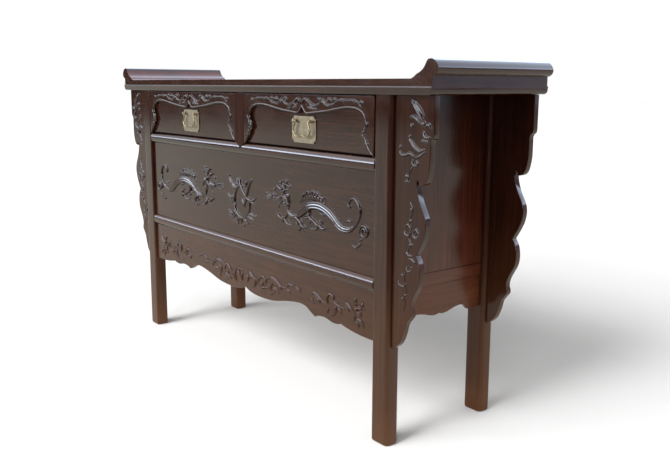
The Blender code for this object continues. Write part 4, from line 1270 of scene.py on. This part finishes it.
@dataclass
class Studio:
    """Floor, soft lights and the camera at the photograph's place."""

    eye: tuple[float, float, float] = (1.9226, -1.3517, 0.8473)
    yaw: float = math.radians(51.8104)
    pitch: float = math.radians(10.2796)
    roll: float = math.radians(0.1858)
    lens: float = 42.12
    sensor: float = 36.0
    floor_half: float = 30.0
    floor_paint: str = "#B4B8B0"
    # On the camera's side and far away the floor is painted dark as shade, and the gloss mirrors it as the
    # shaded part of the room.
    floor_shade: str = "#484848"
    floor_near: Point = (1.4, 3.0)
    floor_far: Point = (10.5, 21.0)
    # To the camera the floor is paler, so that it is white outside the shadow.
    floor_white: str = "#BEBEBE"
    # Even light on matt surfaces at the horizon and overhead, and its share from the right.
    ambient: Point = (0.38, 0.95)
    ambient_right: float = 0.5
    # Brightness of the sky in the gloss by height: dim horizon, brightest just over it.
    sky: tuple[Point, ...] = (
        (0.0, 0.06), (0.05, 0.06), (0.09, 1.0), (0.15, 0.95), (0.22, 0.6), (0.4, 0.44), (1.0, 0.36),
    )
    # The sky is brighter in front than behind, between these ways along Y.
    sky_level: Point = (15.0, 9.0)
    sky_level_range: Point = (-0.8, 0.1)
    # Far to the left and on the camera's side the room is dark.
    sky_left: float = 0.15
    sky_left_range: Point = (-0.95, -0.7)
    sky_near: float = 0.1
    sky_near_range: Point = (0.6, 1.0)
    # Behind the piece the bright sky starts higher, and its horizon is cool too.
    sky_lift: float = 0.24
    sky_lift_range: Point = (-0.1, 0.4)
    cool_range: Point = (0.0, 0.4)
    sky_tint: str = "#CBDCF3"
    horizon_tint: str = "#E6D2C4"
    # A window strip low in front, which draws the thin bright lines on rails and carving.
    strip: tuple[Point, ...] = ((0.0, 0.0), (0.05, 0.0), (0.09, 1.0), (0.17, 1.0), (0.22, 0.0), (1.0, 0.0))
    strip_level: float = 11.5
    strip_range: Point = (-0.55, -0.35)
    # The key is a row of soft lamps in front. The rows that only the floor sees shape its shadow.
    rows: tuple[LampRow, ...] = (
        LampRow("key", -26, 14, 5, 30, 1.3, 13, False),
        LampRow("floor_low", -6, 6, 3, 20, 2.7, 17),
        LampRow("floor_middle", -5, 10, 3, 38, 2.1, 17),
        LampRow("floor_wide", -20, 40, 3, 45, 2.5, 17),
    )
    side_fill: float = 1.1
    side_way: tuple[float, float, float] = (0.98, 0.17, 0.06)
    side_blur: float = math.radians(35)
    lamp_distance: float = 4.0

    def build(self) -> None:
        """Set up the floor, world, lights and camera."""
        floor = self._floor()
        self._world()
        self._lights(floor)
        self._camera()
        bpy.context.scene.view_settings.view_transform = "Standard"

    def _floor(self) -> bpy.types.Object:
        """Lay a pale floor that stays white to the camera outside the shadow.

        Returns:
            The floor.
        """
        half = self.floor_half
        mesh = bpy.data.meshes.new("studio_floor")
        corners = [(-half, -half, 0), (half, -half, 0), (half, half, 0), (-half, half, 0)]
        mesh.from_pydata(corners, [], [(0, 1, 2, 3)])
        floor = bpy.data.objects.new("studio_floor", mesh)
        bpy.context.scene.collection.objects.link(floor)
        # Matt painted board with no gloss: white to the camera, pale to other rays, with painted shade on the
        # camera's side and far away.
        paint, tree, shader = new_material("matt_white_paint")
        tree.nodes.remove(shader)
        add = partial(add_node, tree)
        place = add("ShaderNodeTexCoord").outputs["Object"]
        spot = add("ShaderNodeSeparateXYZ", links={0: place})
        nearer = add("ShaderNodeMath", {"operation": "SUBTRACT"},
                     {0: spot.outputs["X"], 1: spot.outputs["Y"]})
        close = add("ShaderNodeMapRange", {FROM: self.floor_near, TO: (0.0, 1.0)}, {0: nearer})
        away = add("ShaderNodeVectorMath", {"operation": "LENGTH"}, {0: place}).outputs["Value"]
        far = add("ShaderNodeMapRange", {FROM: self.floor_far, TO: (0.0, 1.0)}, {0: away})
        shade = add("ShaderNodeMath", LARGER, {0: close, 1: far})
        tone = add("ShaderNodeMix", {**BLEND, 6: colour(self.floor_paint), 7: colour(self.floor_shade)},
                   {0: shade})
        matt = add("ShaderNodeBsdfDiffuse", links={"Color": tone})
        clear = add("ShaderNodeBsdfDiffuse", {"Color": colour(self.floor_white)})
        camera = add("ShaderNodeLightPath").outputs["Is Camera Ray"]
        shown = add("ShaderNodeMixShader", links={0: camera, 1: matt, 2: clear})
        feed(tree, tree.nodes["Material Output"], {"Surface": shown})
        mesh.materials.append(paint)
        return floor

    def _world(self) -> None:
        """White to the camera, a pale sky over a dim horizon in the gloss, an even soft light otherwise."""
        world = bpy.data.worlds.new("studio")
        world.use_nodes = True
        world.cycles.sampling_method = "NONE"
        bpy.context.scene.world = world
        tree = world.node_tree
        add = partial(add_node, tree)
        white = tree.nodes["Background"]
        white.inputs["Color"].default_value = WHITE
        axes = add("ShaderNodeSeparateXYZ", links={0: add("ShaderNodeTexCoord").outputs["Generated"]})
        right, back, up = (axes.outputs[axis] for axis in "XYZ")
        even = add("ShaderNodeMapRange", {FROM: (0.0, 1.0), TO: self.ambient}, {0: up})
        shade = add("ShaderNodeMapRange", {FROM: (0.0, 1.0), TO: (1.0, self.ambient_right)}, {0: right})
        spread = add("ShaderNodeMath", TIMES, {0: even, 1: shade})
        soft = add("ShaderNodeBackground", {"Color": WHITE}, {"Strength": spread})
        behind = add("ShaderNodeMapRange", {FROM: self.sky_lift_range, TO: (0.0, -self.sky_lift)},
                     {0: back})
        over = add("ShaderNodeMath", {"operation": "ADD"}, {0: up, 1: behind})
        rise = add("ShaderNodeFloatCurve", {0: 1.0, "points": self.sky}, {1: over})
        ahead = add("ShaderNodeMapRange", {FROM: self.sky_level_range, TO: self.sky_level}, {0: back})
        aside = add("ShaderNodeMapRange", {FROM: self.sky_left_range, TO: (self.sky_left, 1.0)}, {0: right})
        towards = add("ShaderNodeMath", {"operation": "SUBTRACT"}, {0: right, 1: back})
        nearby = add("ShaderNodeMapRange", {FROM: self.sky_near_range, TO: (1.0, self.sky_near)},
                     {0: towards})
        flanked = add("ShaderNodeMath", TIMES, {0: aside, 1: nearby})
        facing = add("ShaderNodeMath", TIMES, {0: ahead, 1: flanked})
        open_sky = add("ShaderNodeMath", TIMES, {0: rise, 1: facing})
        window = add("ShaderNodeFloatCurve", {0: 1.0, "points": self.strip}, {1: up})
        front = add("ShaderNodeMapRange", {FROM: self.strip_range, TO: (self.strip_level, 0.0)}, {0: back})
        level = add("ShaderNodeMath", PLUS_TIMES, {0: window, 1: front, 2: open_sky})
        cool = add("ShaderNodeMapRange", {FROM: self.cool_range, TO: (0.0, 1.0)}, {0: back})
        blue = add("ShaderNodeMath", LARGER, {0: rise, 1: cool})
        tint = add("ShaderNodeMix", {**BLEND, 6: colour(self.horizon_tint), 7: colour(self.sky_tint)},
                   {0: blue})
        sky = add("ShaderNodeBackground", links={"Color": tint, "Strength": level})
        rays = add("ShaderNodeLightPath").outputs
        seen = add("ShaderNodeMath", LARGER, {0: rays["Is Camera Ray"], 1: rays["Is Transmission Ray"]})
        direct = add("ShaderNodeMath", {"operation": "LESS_THAN", 1: 0.5}, {0: rays["Diffuse Depth"]})
        mirror = add("ShaderNodeMath", TIMES, {0: rays["Is Glossy Ray"], 1: direct})
        gloss = add("ShaderNodeMixShader", links={0: mirror, 1: soft, 2: sky})
        mixed = add("ShaderNodeMixShader", links={0: seen, 1: gloss, 2: white})
        feed(tree, tree.nodes["World Output"], {"Surface": mixed})

    def _lights(self, floor: bpy.types.Object) -> None:
        """Hang the rows of soft lamps in front and the fill at the side.

        Args:
            floor: the floor, which alone sees the rows that shape its shadow.
        """
        ground = bpy.data.collections.new("floor_light")
        ground.objects.link(floor)
        for row in self.rows:
            for index, towards in enumerate(row.ways()):
                energy = row.total / row.count
                held = self._lamp(f"{row.name}_{index}", towards, energy, math.radians(row.blur))
                if row.floor_only:
                    held.light_linking.receiver_collection = ground
        fill = self._lamp("side_fill", Vector(self.side_way), self.side_fill, self.side_blur)
        fill.visible_glossy = False

    def _lamp(self, name: str, towards: Vector, energy: float, blur: float) -> bpy.types.Object:
        """Hang one far, soft lamp.

        Args:
            name: its name.
            towards: the way from the piece to the lamp.
            energy: its strength.
            blur: the angle that it fills.

        Returns:
            The lamp.
        """
        lamp = bpy.data.lights.new(name, "SUN")
        lamp.energy = energy
        lamp.angle = blur
        held = bpy.data.objects.new(name, lamp)
        held.rotation_euler = (-towards).to_track_quat("-Z", "Y").to_euler()
        held.location = towards * self.lamp_distance
        bpy.context.scene.collection.objects.link(held)
        return held

    def _camera(self) -> None:
        """Put the camera where the photograph was taken from."""
        level = math.cos(self.pitch)
        back = Vector((math.sin(self.yaw) * level, -math.cos(self.yaw) * level, math.sin(self.pitch)))
        lens = bpy.data.cameras.new("camera")
        lens.lens = self.lens
        lens.sensor_width = self.sensor
        camera = bpy.data.objects.new("camera", lens)
        camera.location = self.eye
        camera.rotation_mode = "QUATERNION"
        camera.rotation_quaternion = (-back).to_track_quat("-Z", "Y") @ Quaternion((0, 0, 1), self.roll)
        bpy.context.scene.collection.objects.link(camera)
        bpy.context.scene.camera = camera


def main() -> None:
    """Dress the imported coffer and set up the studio."""
    logging.basicConfig(level=logging.INFO, format="%(name)s %(message)s")
    for old in list(bpy.data.objects):
        bpy.data.objects.remove(old)
    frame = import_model()
    finishes = Finishes.make()
    Polish().apply(list(frame["nodes"].values()))
    for name, node in frame["nodes"].items():
        finishes.dress(name, node)
    FrontPanelCarving().build(finishes)
    for side in ("left", "right"):
        DrawerCarving(side).build(finishes, frame["nodes"])
    ApronCarving().build(finishes)
    SpandrelCarving().build(finishes)
    Studio().build()


if __name__ == "__main__":
    main()
